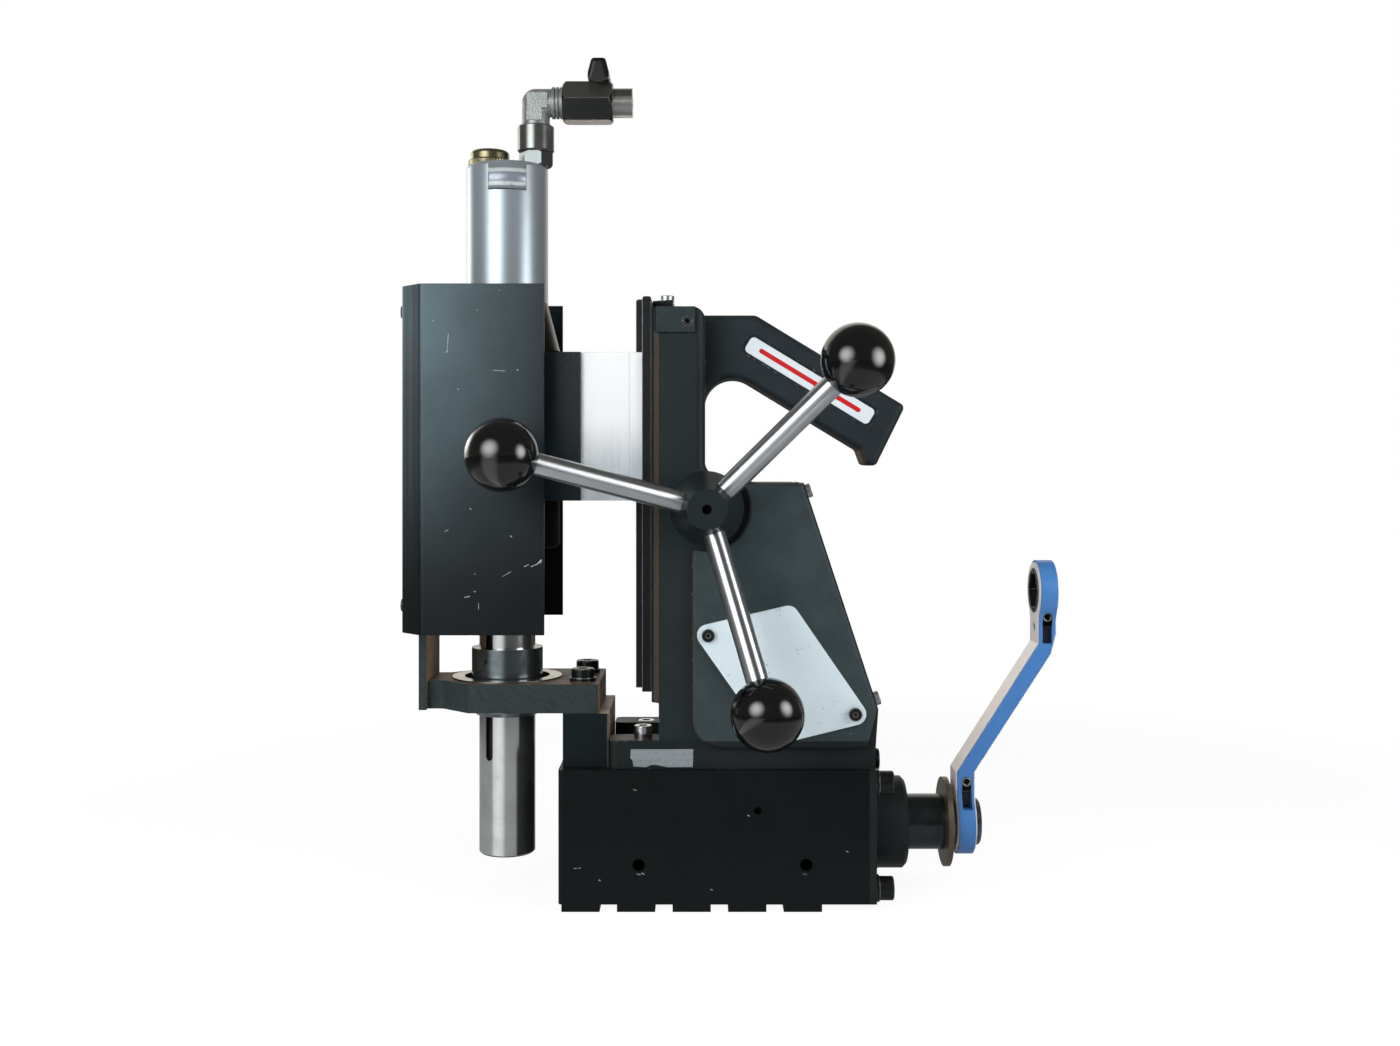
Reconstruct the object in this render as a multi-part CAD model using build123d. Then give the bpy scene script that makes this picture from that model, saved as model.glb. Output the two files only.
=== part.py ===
from build123d import *
import math
import os

# Air-driven magnetic drill on a switchable permanent-magnet base.
# Millimetres. Origin on the work plane at the middle pole foot, +Z up.
# -X is the drilling end, +X the spanner end, -Y the capstan side.

os.makedirs("parts", exist_ok=True)

# Fits and gaps
RUNNING_FIT = 0.05
SLIDING_FIT = 0.08
SCREW_FIT = 0.05
OPEN_GAP = 0.4
THROUGH = 1.0

# Metric screws: shank radius, head radius, head height, socket across flats
M4 = {"shank": 2.0, "head": 3.5, "height": 2.6, "socket": 2.5}
M5 = {"shank": 2.5, "head": 4.25, "height": 5.0, "socket": 4.0}
M6 = {"shank": 3.0, "head": 5.0, "height": 6.0, "socket": 5.0}
M8 = {"shank": 4.0, "head": 6.5, "height": 8.0, "socket": 6.0}

# Magnet base
BASE_REAR_X = 100.8
BASE_HALF_Y = 42.0
BASE_TOP = 77.0
BASE_EDGE_R = 2.5
FOOT_COUNT = 5
FOOT_LENGTH = 20.8
FOOT_PITCH = 30.25
FOOT_RISE = 4.0
FOOT_INSET = 1.8
POLE_GAP = 6.0
ROTOR_Z = 39.5
ROTOR_BORE_R = 23.0
SIDE_HOLE_X = (-28.8, 62.4)
SIDE_HOLE_Z = 25.4
SIDE_HOLE_R = 3.4
SIDE_HOLE_DEPTH = 14.0
PLUG_X = 36.0
PLUG_Z = 55.0
PLUG_R = 4.35
PLUG_LENGTH = 16.0

# Rear bearing housing and rotor
REAR_PLATE = 4.0
REAR_SCREW_Y = 33.0
REAR_SCREW_RISE = 29.0
REAR_SCREW_GRIP = 16.0
BOSS_R = 25.7
BOSS_LENGTH = 20.2
BOSS_CHAMFER = 2.0
BUSH_WALL = 3.5
NECK_R = 15.5
FRONT_BUSH_LENGTH = 10.0
FRONT_JOURNAL_R = 9.0
CORE_END_GAP = 0.8
CORE_REAR_GAP = 4.0
MAGNET_COUNT = 5
MAGNET_WEB = 4.0
MAGNET_HALF_Z = 8.0
MAGNET_INNER = 12.0
WASHER_X = 143.0
WASHER_T = 3.0
WASHER_R = 25.0
DRIVE_HEX = 19.0
CAP_R = 13.1
CAP_T = 3.2
BUSH_END_WALL = 2.0
JOURNAL_END_GAP = 1.0

# Ratchet spanner
LOWER_RING_R = 13.2
LOWER_RING_LENGTH = 14.4
LOWER_HEAD_R = 18.0
UPPER_HEAD_R = 17.3
UPPER_RING_R = 12.4
UPPER_RING_PROUD = 0.4
UPPER_Z = 171.5
HEAD_T = 10.8
LOWER_HEAD_GAP = 3.3
HEAD_OFFSET = 46.1
NECK_HALF_Y = 10.5
LOWER_BEND_RISE = 30.1
UPPER_BEND_DROP = 29.5
NECK_T = 8.0
FACE_PLATE_T = 0.8
FACE_PLATE_INSET = 1.4
NECK_BLEND_R = 14.0
TELL_HOLE_R = 3.0
TELL_HOLE_DROP = 21.0
SELECTOR_SLOT = (5.4, 17.7, 2.5)
SELECTOR_LENGTH = 8.2
SELECTOR_T = 2.0
SELECTOR_PIN_R = 2.5
SELECTOR_PIN_H = 1.0
SELECTOR_HOLE_R = 1.9
LOWER_SELECTOR_RISE = 18.55
LOWER_SELECTOR_SHIFT = 0.5
UPPER_SELECTOR_DROP = 20.5

# Riser, bracket, guard
SPINDLE_X = -105.5
RISER_X = (-71.0, -45.6)
RISER_HALF_Y = 33.0
RISER_HEIGHT = 29.5
BRACKET_T = 15.9
BRACKET_REAR_X = -51.0
BRACKET_CORNER_X = -122.9
BRACKET_NECK_X = -139.5
BRACKET_NECK_HALF_Y = 16.5
ARM_X = (-152.2, -148.1)
ARM_HALF_Y = 22.0
TEE_HALF_Y = 36.0
TEE_BOTTOM = 155.0
TEE_TOP = 336.0
RISER_CHAMFER = 1.0
BRACKET_ROUNDS = (2.0, 3.0, 5.0)
BRACKET_SCREW_X = -61.0
BRACKET_SCREW_Y = 18.0
BRACKET_SCREW_HEAD = {"height": 5.0}
SCREW_BITE = 15.0
LOCK_WASHER_R = 7.4
LOCK_WASHER_T = 2.0
GUARD_FRONT_X = -157.5
GUARD_REAR_X = -78.8
GUARD_HALF_Y = 56.5
GUARD_Z = (152.0, 340.0)
GUARD_T = 2.2
GUARD_BEVEL = (12.5, 14.0)
GUARD_BEND_R = 4.0
GUARD_SCREW_Y = 30.0
GUARD_SCREW_Z = (165.8, 327.3)

# Steady bearing
BEARING_OUTER_R = 31.0
BEARING_RACE_R = 24.2
BEARING_PROUD = 0.8
BEARING_LIP = 2.0
BEARING_LIP_R = 22.5
COLLAR_R = 20.15
COLLAR_Z = (101.5, 139.5)
COLLAR_CHAMFER = 2.5
STEADY_BALL_R = 3.6
STEADY_BALL_COUNT = 10
DOG_Z = 132.9
DOG_R = 2.7
DOG_TIP_R = 2.25
DOG_SOCKET = 3.0
DOG_SINK = 1.2
SOCKET_DEPTH = 3.0
KEY_ANGLE = -123.0

# Spindle
SPINDLE_R = 15.875
NOSE_Z = 22.5
CUTTER_BORE_R = 9.525
CUTTER_BORE_DEPTH = 52.0
PILOT_BORE_R = 4.0
KEYWAY_WIDTH = 5.0
KEYWAY_DEPTH = 3.0
KEYWAY_Z = (76.5, 165.0)
CUTTER_SCREW_Z = (36.0, 54.0)
CUTTER_SCREW_SINK = 0.6
NOSE_CHAMFER = 1.0

# Gearbox
HOUSING_R = 30.0
HOUSING_Z = (196.0, 308.0)
HOUSING_EDGE_R = 3.0
HOUSING_LIP = 4.0
HOUSING_LIP_R = 17.0
SPINDLE_JOURNAL_R = 12.5
SPINDLE_BEARING_R = 23.5
SPINDLE_BEARING_T = 12.0
BEARING_SPACING = 26.0
BEARING_INNER_T = 3.5
BEARING_OUTER_T = 3.0
BEARING_SHOULDER = 2.0
SPINDLE_BALL_R = 2.9
SPINDLE_BALL_COUNT = 9
GEAR_MODULE = 0.9
SUN_TEETH = 18
PLANET_TEETH = 18
PLANET_COUNT = 3
GEAR_FACE = 12.0
GEAR_GAP = 1.0
CARRIER_T = 8.0
CARRIER_R = 22.0
PLANET_PIN_R = 2.5
RING_WALL = 2.7
RING_ADDENDUM = 0.7
PRESSURE_ANGLE = math.radians(20)
DEDENDUM = 1.25
BACKLASH = 0.12

# Air motor
MOTOR_R = 23.2
MOTOR_CONE_H = 26.0
MOTOR_LENGTH = 79.4
MOTOR_EDGE_R = 2.5
MOTOR_HEAD_T = 12.6
CHAMBER_R = 17.5
CHAMBER_SHIFT = 2.5
END_PLATE_T = 8.0
MOTOR_ROTOR_R = 14.6
MOTOR_SHAFT_R = 5.0
MOTOR_JOURNAL_R = 4.0
MOTOR_JOURNAL_LENGTH = 6.0
ROTOR_END_GAP = 1.0
VANE_SLOT = (1.2, 5.0)

# Air fittings
SILENCER_X = -115.4
SILENCER_RIM_R = 12.25
SILENCER_RIM_H = 3.4
SILENCER_DOME_R = 11.0
SILENCER_DOME_H = 5.9
SILENCER_DOME_EDGE_R = 2.1
SILENCER_STEM_R = 6.9
STEM_LENGTH = 5.0
INLET_X = -89.2
NIPPLE_HEX = 17.0
NIPPLE_HEX_H = 8.2
NIPPLE_TURN = -6.0
NIPPLE_CHAMFER = 1.0
NIPPLE_STEM_R = 5.0
THREAD_R = 6.5
AIR_BORE_R = 3.5
SOCKET_R = 10.5
SOCKET_LENGTH = 15.1
SOCKET_CHAMFER = 0.8
THREAD_BITE = 6.5
ELBOW_R = 8.0
ELBOW_RIM_R = 9.0
ELBOW_RIM_T = 6.3
ELBOW_RINGS = 3
ELBOW_GROOVE = 0.8
FLOW_RISE = 13.3
ELBOW_PAD_PROUD = 0.6
ELBOW_PAD_HALF = 4.4
ELBOW_PAD_INSET = 2.0
VALVE_X = (-73.5, -45.0)
VALVE_HEX = 22.0
VALVE_CHAMFER = 2.0
VALVE_END_X = -33.9
VALVE_THREAD_R = 8.33
VALVE_BALL_R = 7.6
VALVE_STEM_X = -52.8
BALL_NECK = 1.5
VALVE_STEM_R = 2.8
HANDLE_WING = (7.9, 11.9)
HANDLE_WING_Y = (-14.0, 12.0)
HANDLE_WING_H = 11.6
HANDLE_WING_FOOT = 4.0
HANDLE_EDGE = 3.0
HANDLE_CORNER_R = 2.0
HANDLE_TAB = (2.75, 2.4)
HANDLE_TAB_R = 5.0
HANDLE_STEM_BITE = 7.0

# Mount, spacer, slide
MOUNT_R = 37.0
MOUNT_Z = (223.5, 305.0)
MOUNT_REAR_X = -60.9
SPACER_REAR_X = -34.3
SPACER_HALF_Y = 34.0
RAIL_FRONT_X = -31.2
RAIL_HALF_Y = 20.0
SLIDE_FRONT_X = -27.2
SLIDE_REAR_X = -22.1
SLIDE_HALF_Y = 36.0
SLIDE_Z = (118.8, 335.6)
SLIDE_ROUND = 1.5
TONGUE_DEPTH = 12.0
TONGUE_NECK_Y = 12.0
DOVETAIL_ANGLE = math.radians(30)
MOUNT_BOLT_Y = 27.0
MOUNT_BOLT_INSET = 8.5
MOUNT_BOLT_BITE = 11.0
STOP_SCREW_X = -14.4
STOP_SCREW_Y = 8.0

# Rack and pinion
PINION_X = 8.1
PINION_Z = 219.8
PINION_TEETH = 16
RACK_MODULE = 1.5
RACK_ADDENDUM = 0.9
RACK_TEETH = 34
RACK_HALF_Y = 9.0
BUSH_RACK_GAP = 2.0
PINION_SHAFT_R = 9.0
PINION_BUSH_R = 14.5
PINION_COLLAR_R = 12.0
PINION_COLLAR_T = 3.0

# Frame casting
FRAME_GAP = 0.1
COLUMN_HALF_Y = 39.0
COLUMN_REAR_X = 7.4
COLUMN_CHAMFER = 4.0
COLUMN_ROUND = 5.0
FRAME_TOP = 329.5
WAYS_BOTTOM = 113.0
WAYS_RELIEF = 4.0
FOOT_FRONT_X = -45.0
FOOT_TOP = 92.6
FOOT_CHANNEL_Y = 19.0
FOOT_CORNER_R = 4.0
FRAME_REAR_X = 101.9
FOOT_REAR_X = 100.4
FOOT_REAR_Z = 88.0
BOX_TOP = 233.3
BOX_TOP_X = 61.3
SLANT_LOW_Z = 110.0
COLUMN_TOP_R = 7.0
SADDLE_Z = 238.8
SADDLE_R = 7.0
PANEL_PROUD = 4.0
PANEL_LEFT_X = 0.5
PANEL_BOTTOM = 89.0
PANEL_LOW_INSET = 6.4
PANEL_REAR_INSET = 1.0
PANEL_SHOULDER_Z = 199.6
PANEL_CORNER_R = (16.0, 6.5)
PANEL_EDGE_R = 1.6
HUB_POCKET_R = 23.4
PAD_X = (-19.4, 1.8)
PAD_BOTTOM = 315.5
PAD_PROUD = 2.0
LOCK_SCREW_X = -2.2
LOCK_SCREW_Z = 321.5
LOCK_SCREW_LENGTH = 24.0
HANDLE_HALF_Y = 18.0
HANDLE_EDGE_R = 4.0
HANDLE_CREST = 327.2
HANDLE_KNEE_X = 36.0
HANDLE_TIP = (119.9, 276.2)
HANDLE_HEEL = (103.3, 242.6)
HANDLE_HOOK = (97.2, 243.1)
HANDLE_THROAT = (94.0, 251.7)
HANDLE_ARCH_R = 16.0
HANDLE_KNEE_R = 6.0
HANDLE_END_R = 3.0
HANDLE_HOOK_R = 2.5
BADGE_CENTRE = (66.1, 290.4)
BADGE_ANGLE = 31.3
BADGE_SIZE = (84.0, 12.0)
BADGE_DEPTH = 0.8
BADGE_CORNER_R = 3.0
CAVITY_HALF_Y = 29.0
CAVITY_X = 16.0
CAVITY_Z = (86.0, 200.0)
CAVITY_REAR_X = 84.0
CAVITY_SILL_Z = 120.0
CAVITY_R = 4.0
FOOT_SCREW_X = (-27.0, 70.0)
FOOT_SCREW_Y = (24.5, 20.0)
SUNK_SCREW_Y = 29.0
COVER_T = 2.5
COVER_SIDE_GAP = 0.5
COVER_SCREW_INSET = 5.0
COVER_SCREW_BITE = 9.0
COVER_CORNER_R = 3.0
COVER_SCREW_HEAD = {"head": 3.85, "height": 2.8}
GIB_T = 4.0
GIB_SCREW_Z = (150.0, 220.0, 290.0)
GIB_END_GAP = 4.0

# Blanking plate, corners in X and Z
PLATE_CORNERS = ((-1.1, 154.5), (54.9, 167.5), (98.5, 104.3), (43.7, 90.9))
PLATE_T = 2.0
PLATE_CORNER_R = 6.0
PLATE_SCREW_BITE = 7.0
SWITCH_OPENING_R = 16.0

# Capstan
HUB_BACK_Y = -46.0
HUB_RIM_T = 6.0
HUB_FRONT_Y = -80.0
HUB_RIM_R = 20.0
HUB_NOSE_R = 10.5
HUB_HOLE_R = 2.6
HUB_HOLE_DEPTH = 10.0
ROD_R = 6.0
ROD_ANGLES = (45.0, 164.8, 286.4)
ROD_TILT = 18.7
ROD_BITE = 6.0
KNOB_R = 19.0
KNOB_REACH = 108.0
KNOB_BITE = 12.0
KNOB_FLAT_R = 8.0

# Values that follow from the sizes above
POLE_REAR_X = BASE_REAR_X - REAR_PLATE
BOSS_END_X = BASE_REAR_X + BOSS_LENGTH
BUSH_R = NECK_R + BUSH_WALL
CORE_R = ROTOR_BORE_R - OPEN_GAP
RING_START_X = WASHER_X + WASHER_T
RING_END_X = RING_START_X + LOWER_RING_LENGTH
LOWER_HEAD_X = RING_START_X + LOWER_HEAD_GAP
UPPER_HEAD_X = LOWER_HEAD_X + HEAD_OFFSET
LOWER_BEND_Z = ROTOR_Z + LOWER_BEND_RISE
UPPER_BEND_Z = UPPER_Z - UPPER_BEND_DROP
FEET_LENGTH = FOOT_PITCH * (FOOT_COUNT - 1) + FOOT_LENGTH
BASE_FRONT_X = -FEET_LENGTH / 2 - FOOT_INSET
RISER_TOP = BASE_TOP + RISER_HEIGHT
BRACKET_TOP = RISER_TOP + BRACKET_T
BEARING_SEAT_Z = RISER_TOP + BEARING_LIP
BEARING_TOP = BRACKET_TOP + BEARING_PROUD
TEE_FRONT_X = GUARD_FRONT_X + GUARD_T
LOW_BEARING_Z = HOUSING_Z[0] + HOUSING_LIP
HIGH_BEARING_Z = LOW_BEARING_Z + BEARING_SPACING
CARRIER_Z = HIGH_BEARING_Z + SPINDLE_BEARING_T + GEAR_GAP
GEAR_Z = CARRIER_Z + CARRIER_T + GEAR_GAP
RING_TEETH = SUN_TEETH + 2 * PLANET_TEETH
PLANET_ORBIT = GEAR_MODULE * (SUN_TEETH + PLANET_TEETH) / 2
RING_ROOT_R = GEAR_MODULE * (RING_TEETH / 2 + DEDENDUM)
RING_OUTER_R = RING_ROOT_R + RING_WALL - GEAR_MODULE
MOTOR_CONE_TOP = HOUSING_Z[1] + MOTOR_CONE_H
MOTOR_TOP = MOTOR_CONE_TOP + MOTOR_LENGTH
MOTOR_HEAD_Z = MOTOR_TOP - MOTOR_HEAD_T
NIPPLE_TOP = MOTOR_TOP + NIPPLE_HEX_H
SOCKET_TOP = NIPPLE_TOP + SOCKET_LENGTH
FLOW_Z = SOCKET_TOP + FLOW_RISE
SILENCER_TOP = MOTOR_TOP + SILENCER_RIM_H + SILENCER_DOME_H
FRAME_FRONT_X = SLIDE_REAR_X + FRAME_GAP
TONGUE_TIP_X = SLIDE_REAR_X + TONGUE_DEPTH
TONGUE_TIP_Y = TONGUE_NECK_Y + TONGUE_DEPTH * math.tan(DOVETAIL_ANGLE)
PINION_R = RACK_MODULE * PINION_TEETH / 2
RACK_PITCH_X = PINION_X - PINION_R
PANEL_Y = COLUMN_HALF_Y + PANEL_PROUD
COVER_HALF_Y = COLUMN_HALF_Y - COVER_SIDE_GAP
COVER_SCREW_Y = (CAVITY_HALF_Y + COLUMN_HALF_Y) / 2
LOCK_SCREW_Y = (-COLUMN_HALF_Y - PAD_PROUD, LOCK_SCREW_LENGTH - COLUMN_HALF_Y - PAD_PROUD)


def block(x, y, z):
    """Box between three low and high pairs."""
    size = [pair[1] - pair[0] for pair in (x, y, z)]
    middle = [(pair[1] + pair[0]) / 2 for pair in (x, y, z)]
    return Pos(*middle) * Box(*size)


def both(value):
    """Low and high pair about zero."""
    return (-value, value)


def rod(axis, radius, ends, at=(0.0, 0.0)):
    """Cylinder along one axis; at holds its other two coordinates in X, Y, Z order."""
    length = abs(ends[1] - ends[0])
    middle = (ends[0] + ends[1]) / 2
    if axis == "x":
        return Pos(middle, at[0], at[1]) * Rot(0, 90, 0) * Cylinder(radius, length)
    if axis == "y":
        return Pos(at[0], middle, at[1]) * Rot(90, 0, 0) * Cylinder(radius, length)
    return Pos(at[0], at[1], middle) * Cylinder(radius, length)


def hexagon_x(across_flats, ends, z):
    """Hexagonal bar along X with flat top and bottom."""
    outline = RegularPolygon(across_flats / 2, 6, major_radius=False)
    bar = extrude(outline, amount=ends[1] - ends[0])
    return Pos(ends[0], 0, z) * Rot(0, 90, 0) * Rot(0, 0, 90) * bar


def profile_y(points, y, rounds=None):
    """XZ outline extruded from y[0] to y[1]; rounds maps a point's index to its corner radius."""
    face = rounded(points, rounds or {})
    return Pos(0, y[1], 0) * extrude(Plane.XZ * face, amount=y[1] - y[0], dir=(0, -1, 0))


def profile_z(points, z, rounds=None):
    """XY outline extruded from z[0] to z[1]."""
    face = rounded(points, rounds or {})
    return Pos(0, 0, z[0]) * extrude(face, amount=z[1] - z[0], dir=(0, 0, 1))


def rounded(points, rounds):
    """Flat outline through the points, with the named corners rounded."""
    face = make_face(Polyline(*points, close=True))
    for index, radius in rounds.items():
        corner = Vector(*points[index])
        vertex = min(face.vertices(), key=lambda v: (Vector(v.X, v.Y) - corner).length)
        face = fillet(vertex, radius)
    return face


def turned(points, at=(0.0, 0.0)):
    """Solid turned about a vertical axis from radius and height pairs."""
    face = Plane.XZ * make_face(Polyline(*points, close=True))
    return Pos(at[0], at[1], 0) * revolve(face, Axis.Z)


def edges_near(shape, test):
    """Edges whose middle point passes the test."""
    return [edge for edge in shape.edges() if test(edge.position_at(0.5))]


def cap_screw(size, length, washer=False):
    """Socket head screw pointing down, its seat at the origin, on a lock washer if asked."""
    seat = LOCK_WASHER_T if washer else 0.0
    screw = Pos(0, 0, seat + size["height"] / 2) * Cylinder(size["head"], size["height"])
    top_rim = screw.edges().sort_by(Axis.Z)[-1]
    screw = chamfer(top_rim, size["head"] * 0.08)
    screw += Pos(0, 0, (seat - length) / 2) * Cylinder(size["shank"], length + seat)
    if washer:
        screw += Pos(0, 0, seat / 2) * Cylinder(LOCK_WASHER_R, seat)
    socket = RegularPolygon(size["socket"] / 2, 6, major_radius=False)
    depth = size["height"] * 0.55
    return screw - Pos(0, 0, seat + size["height"] - depth) * extrude(socket, amount=depth + THROUGH)


def involute(angle):
    return math.tan(angle) - angle


def gear_face(teeth, module, tip_r, root_r, thickness):
    """Spur outline with a tooth centred on +X; each flank is an arc through three involute points."""
    pitch_r = module * teeth / 2
    base_r = pitch_r * math.cos(PRESSURE_ANGLE)
    flank_r = max(root_r, base_r)

    def half_angle(radius):
        pressure = math.acos(min(1.0, base_r / radius))
        return thickness / (2 * pitch_r) + involute(PRESSURE_ANGLE) - involute(pressure)

    def at(radius, angle):
        return (radius * math.cos(angle), radius * math.sin(angle), 0)

    low = half_angle(flank_r)
    middle_r = (flank_r + tip_r) / 2
    middle = half_angle(middle_r)
    high = half_angle(tip_r)
    step = 2 * math.pi / teeth
    edges = []
    for index in range(teeth):
        angle = index * step
        if flank_r > root_r:
            edges.append(Edge.make_line(at(root_r, angle - low), at(flank_r, angle - low)))
        edges.append(Edge.make_three_point_arc(
            at(flank_r, angle - low), at(middle_r, angle - middle), at(tip_r, angle - high)))
        edges.append(Edge.make_three_point_arc(
            at(tip_r, angle - high), at(tip_r, angle), at(tip_r, angle + high)))
        edges.append(Edge.make_three_point_arc(
            at(tip_r, angle + high), at(middle_r, angle + middle), at(flank_r, angle + low)))
        if flank_r > root_r:
            edges.append(Edge.make_line(at(flank_r, angle + low), at(root_r, angle + low)))
        edges.append(Edge.make_three_point_arc(
            at(root_r, angle + low), at(root_r, angle + step / 2), at(root_r, angle + step - low)))
    return Face(Wire(edges))


def gear(teeth, module, length, addendum=1.0):
    """External spur gear standing on the XY plane."""
    pitch_r = module * teeth / 2
    thickness = math.pi * module / 2 - BACKLASH
    face = gear_face(teeth, module, pitch_r + addendum * module, pitch_r - DEDENDUM * module, thickness)
    return extrude(face, amount=length, dir=(0, 0, 1))


def ball_ring(radius, ball_r, count, z):
    """Balls spaced evenly round the spindle axis."""
    balls = []
    for index in range(count):
        angle = 2 * math.pi * index / count
        x = SPINDLE_X + radius * math.cos(angle)
        balls.append(Pos(x, radius * math.sin(angle), z) * Sphere(ball_r))
    return balls


def race(radius, ball_r, z):
    """Groove that a ring of balls runs in."""
    return Pos(SPINDLE_X, 0, z) * Torus(radius, ball_r + RUNNING_FIT)


def tube(outer, inner, z):
    """Ring round the spindle axis."""
    at = (SPINDLE_X, 0)
    return rod("z", outer, z, at) - rod("z", inner, (z[0] - THROUGH, z[1] + THROUGH), at)


# Screw places in the base, used by every part that a screw goes through
BRACKET_SCREWS = [(BRACKET_SCREW_X, side * BRACKET_SCREW_Y) for side in (-1, 1)]
SUNK_SCREW = (FOOT_SCREW_X[0], SUNK_SCREW_Y)
SUNK_SEAT = FOOT_TOP - M6["height"]
FOOT_SCREWS = [(FOOT_SCREW_X[0], -FOOT_SCREW_Y[0]), SUNK_SCREW]
FOOT_SCREWS += [(FOOT_SCREW_X[1], side * FOOT_SCREW_Y[1]) for side in (-1, 1)]
FOOT_SEATS = [FOOT_TOP, SUNK_SEAT, CAVITY_Z[0], CAVITY_Z[0]]
REAR_SCREWS = [(y, ROTOR_Z + z) for y in both(REAR_SCREW_Y) for z in both(REAR_SCREW_RISE)]
GUARD_SCREWS = [(y, z) for y in both(GUARD_SCREW_Y) for z in GUARD_SCREW_Z]
MOUNT_BOLTS = [(y, z) for y in both(MOUNT_BOLT_Y)
               for z in (MOUNT_Z[0] + MOUNT_BOLT_INSET, MOUNT_Z[1] - MOUNT_BOLT_INSET)]


def magnet_base():
    """Pole halves, spacers, rear housing, bushes and screws of the magnet."""
    front = BASE_FRONT_X + FOOT_INSET
    pole = block((BASE_FRONT_X, POLE_REAR_X), (POLE_GAP / 2, BASE_HALF_Y), (0, BASE_TOP))
    pole = fillet(edges_near(pole, lambda p: p.X < BASE_FRONT_X + 0.1 and p.Y > BASE_HALF_Y - 0.1),
                  BASE_EDGE_R)
    whole_y = both(BASE_HALF_Y + THROUGH)
    slots = [(front + FOOT_LENGTH + n * FOOT_PITCH, front + (n + 1) * FOOT_PITCH)
             for n in range(FOOT_COUNT - 1)]
    slots.append((front + FOOT_LENGTH + (FOOT_COUNT - 1) * FOOT_PITCH, BASE_REAR_X))
    slots.append((BASE_FRONT_X - THROUGH, front))
    bars = block((BASE_FRONT_X, POLE_REAR_X), both(POLE_GAP / 2), (0, BASE_TOP))
    for slot in slots:
        pole -= block(slot, whole_y, (-THROUGH, FOOT_RISE))
        bars -= block(slot, whole_y, (-THROUGH, FOOT_RISE))
    bore_x = (BASE_FRONT_X - THROUGH, BASE_REAR_X + THROUGH)
    pole -= rod("x", ROTOR_BORE_R, bore_x, (0, ROTOR_Z))
    for x in SIDE_HOLE_X:
        hole_y = (BASE_HALF_Y - SIDE_HOLE_DEPTH, BASE_HALF_Y + THROUGH)
        pole -= rod("y", SIDE_HOLE_R, hole_y, (x, SIDE_HOLE_Z))
    for y, z in REAR_SCREWS:
        pole -= rod("x", M8["shank"] + SCREW_FIT, (BASE_REAR_X - REAR_SCREW_GRIP, BASE_REAR_X), (y, z))
    for at in BRACKET_SCREWS:
        pole -= rod("z", M8["shank"] + SCREW_FIT, (BASE_TOP - SCREW_BITE, BASE_TOP + THROUGH), at)
    near_pole = mirror(pole, about=Plane.XZ)
    for at in FOOT_SCREWS:
        hole = rod("z", M6["shank"] + SCREW_FIT, (BASE_TOP - SCREW_BITE, BASE_TOP + THROUGH), at)
        pole -= hole
        near_pole -= hole
    plug = rod("y", PLUG_R, (-BASE_HALF_Y, PLUG_LENGTH - BASE_HALF_Y), (PLUG_X, PLUG_Z))
    near_pole -= plug
    plug_socket = extrude(RegularPolygon(M5["socket"] / 2, 6, major_radius=False), amount=M5["height"])
    plug -= Pos(PLUG_X, -BASE_HALF_Y, PLUG_Z) * Rot(-90, 0, 0) * plug_socket

    bars -= rod("x", ROTOR_BORE_R, bore_x, (0, ROTOR_Z))

    housing = block((POLE_REAR_X, BASE_REAR_X), both(BASE_HALF_Y), (FOOT_RISE, BASE_TOP))
    boss = rod("x", BOSS_R, (BASE_REAR_X, BOSS_END_X), (0, ROTOR_Z))
    housing += chamfer(boss.edges().sort_by(Axis.X)[-1], BOSS_CHAMFER)
    housing -= rod("x", BUSH_R, (POLE_REAR_X - THROUGH, BOSS_END_X + THROUGH), (0, ROTOR_Z))
    for y, z in REAR_SCREWS:
        housing -= rod("x", M8["shank"] + SCREW_FIT, bore_x, (y, z))

    front_end = BASE_FRONT_X + FRONT_BUSH_LENGTH
    front_bush = rod("x", ROTOR_BORE_R, (BASE_FRONT_X, front_end), (0, ROTOR_Z))
    front_bore = (BASE_FRONT_X + BUSH_END_WALL, front_end + THROUGH)
    front_bush -= rod("x", FRONT_JOURNAL_R + RUNNING_FIT, front_bore, (0, ROTOR_Z))
    rear_bush = rod("x", BUSH_R, (POLE_REAR_X, BOSS_END_X - BOSS_CHAMFER), (0, ROTOR_Z))
    rear_bush -= rod("x", NECK_R + RUNNING_FIT, (POLE_REAR_X - THROUGH, BOSS_END_X), (0, ROTOR_Z))

    screws = [Pos(BASE_REAR_X, y, z) * Rot(0, 90, 0) * cap_screw(M8, REAR_SCREW_GRIP, washer=True)
              for y, z in REAR_SCREWS]
    return {
        "pole_capstan_side": near_pole,
        "pole_far_side": pole,
        "pole_spacers": bars,
        "side_plug": plug,
        "rear_bearing_housing": housing,
        "bronze_bushes": [front_bush, rear_bush],
        "washer_screws": screws,
    }


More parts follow.
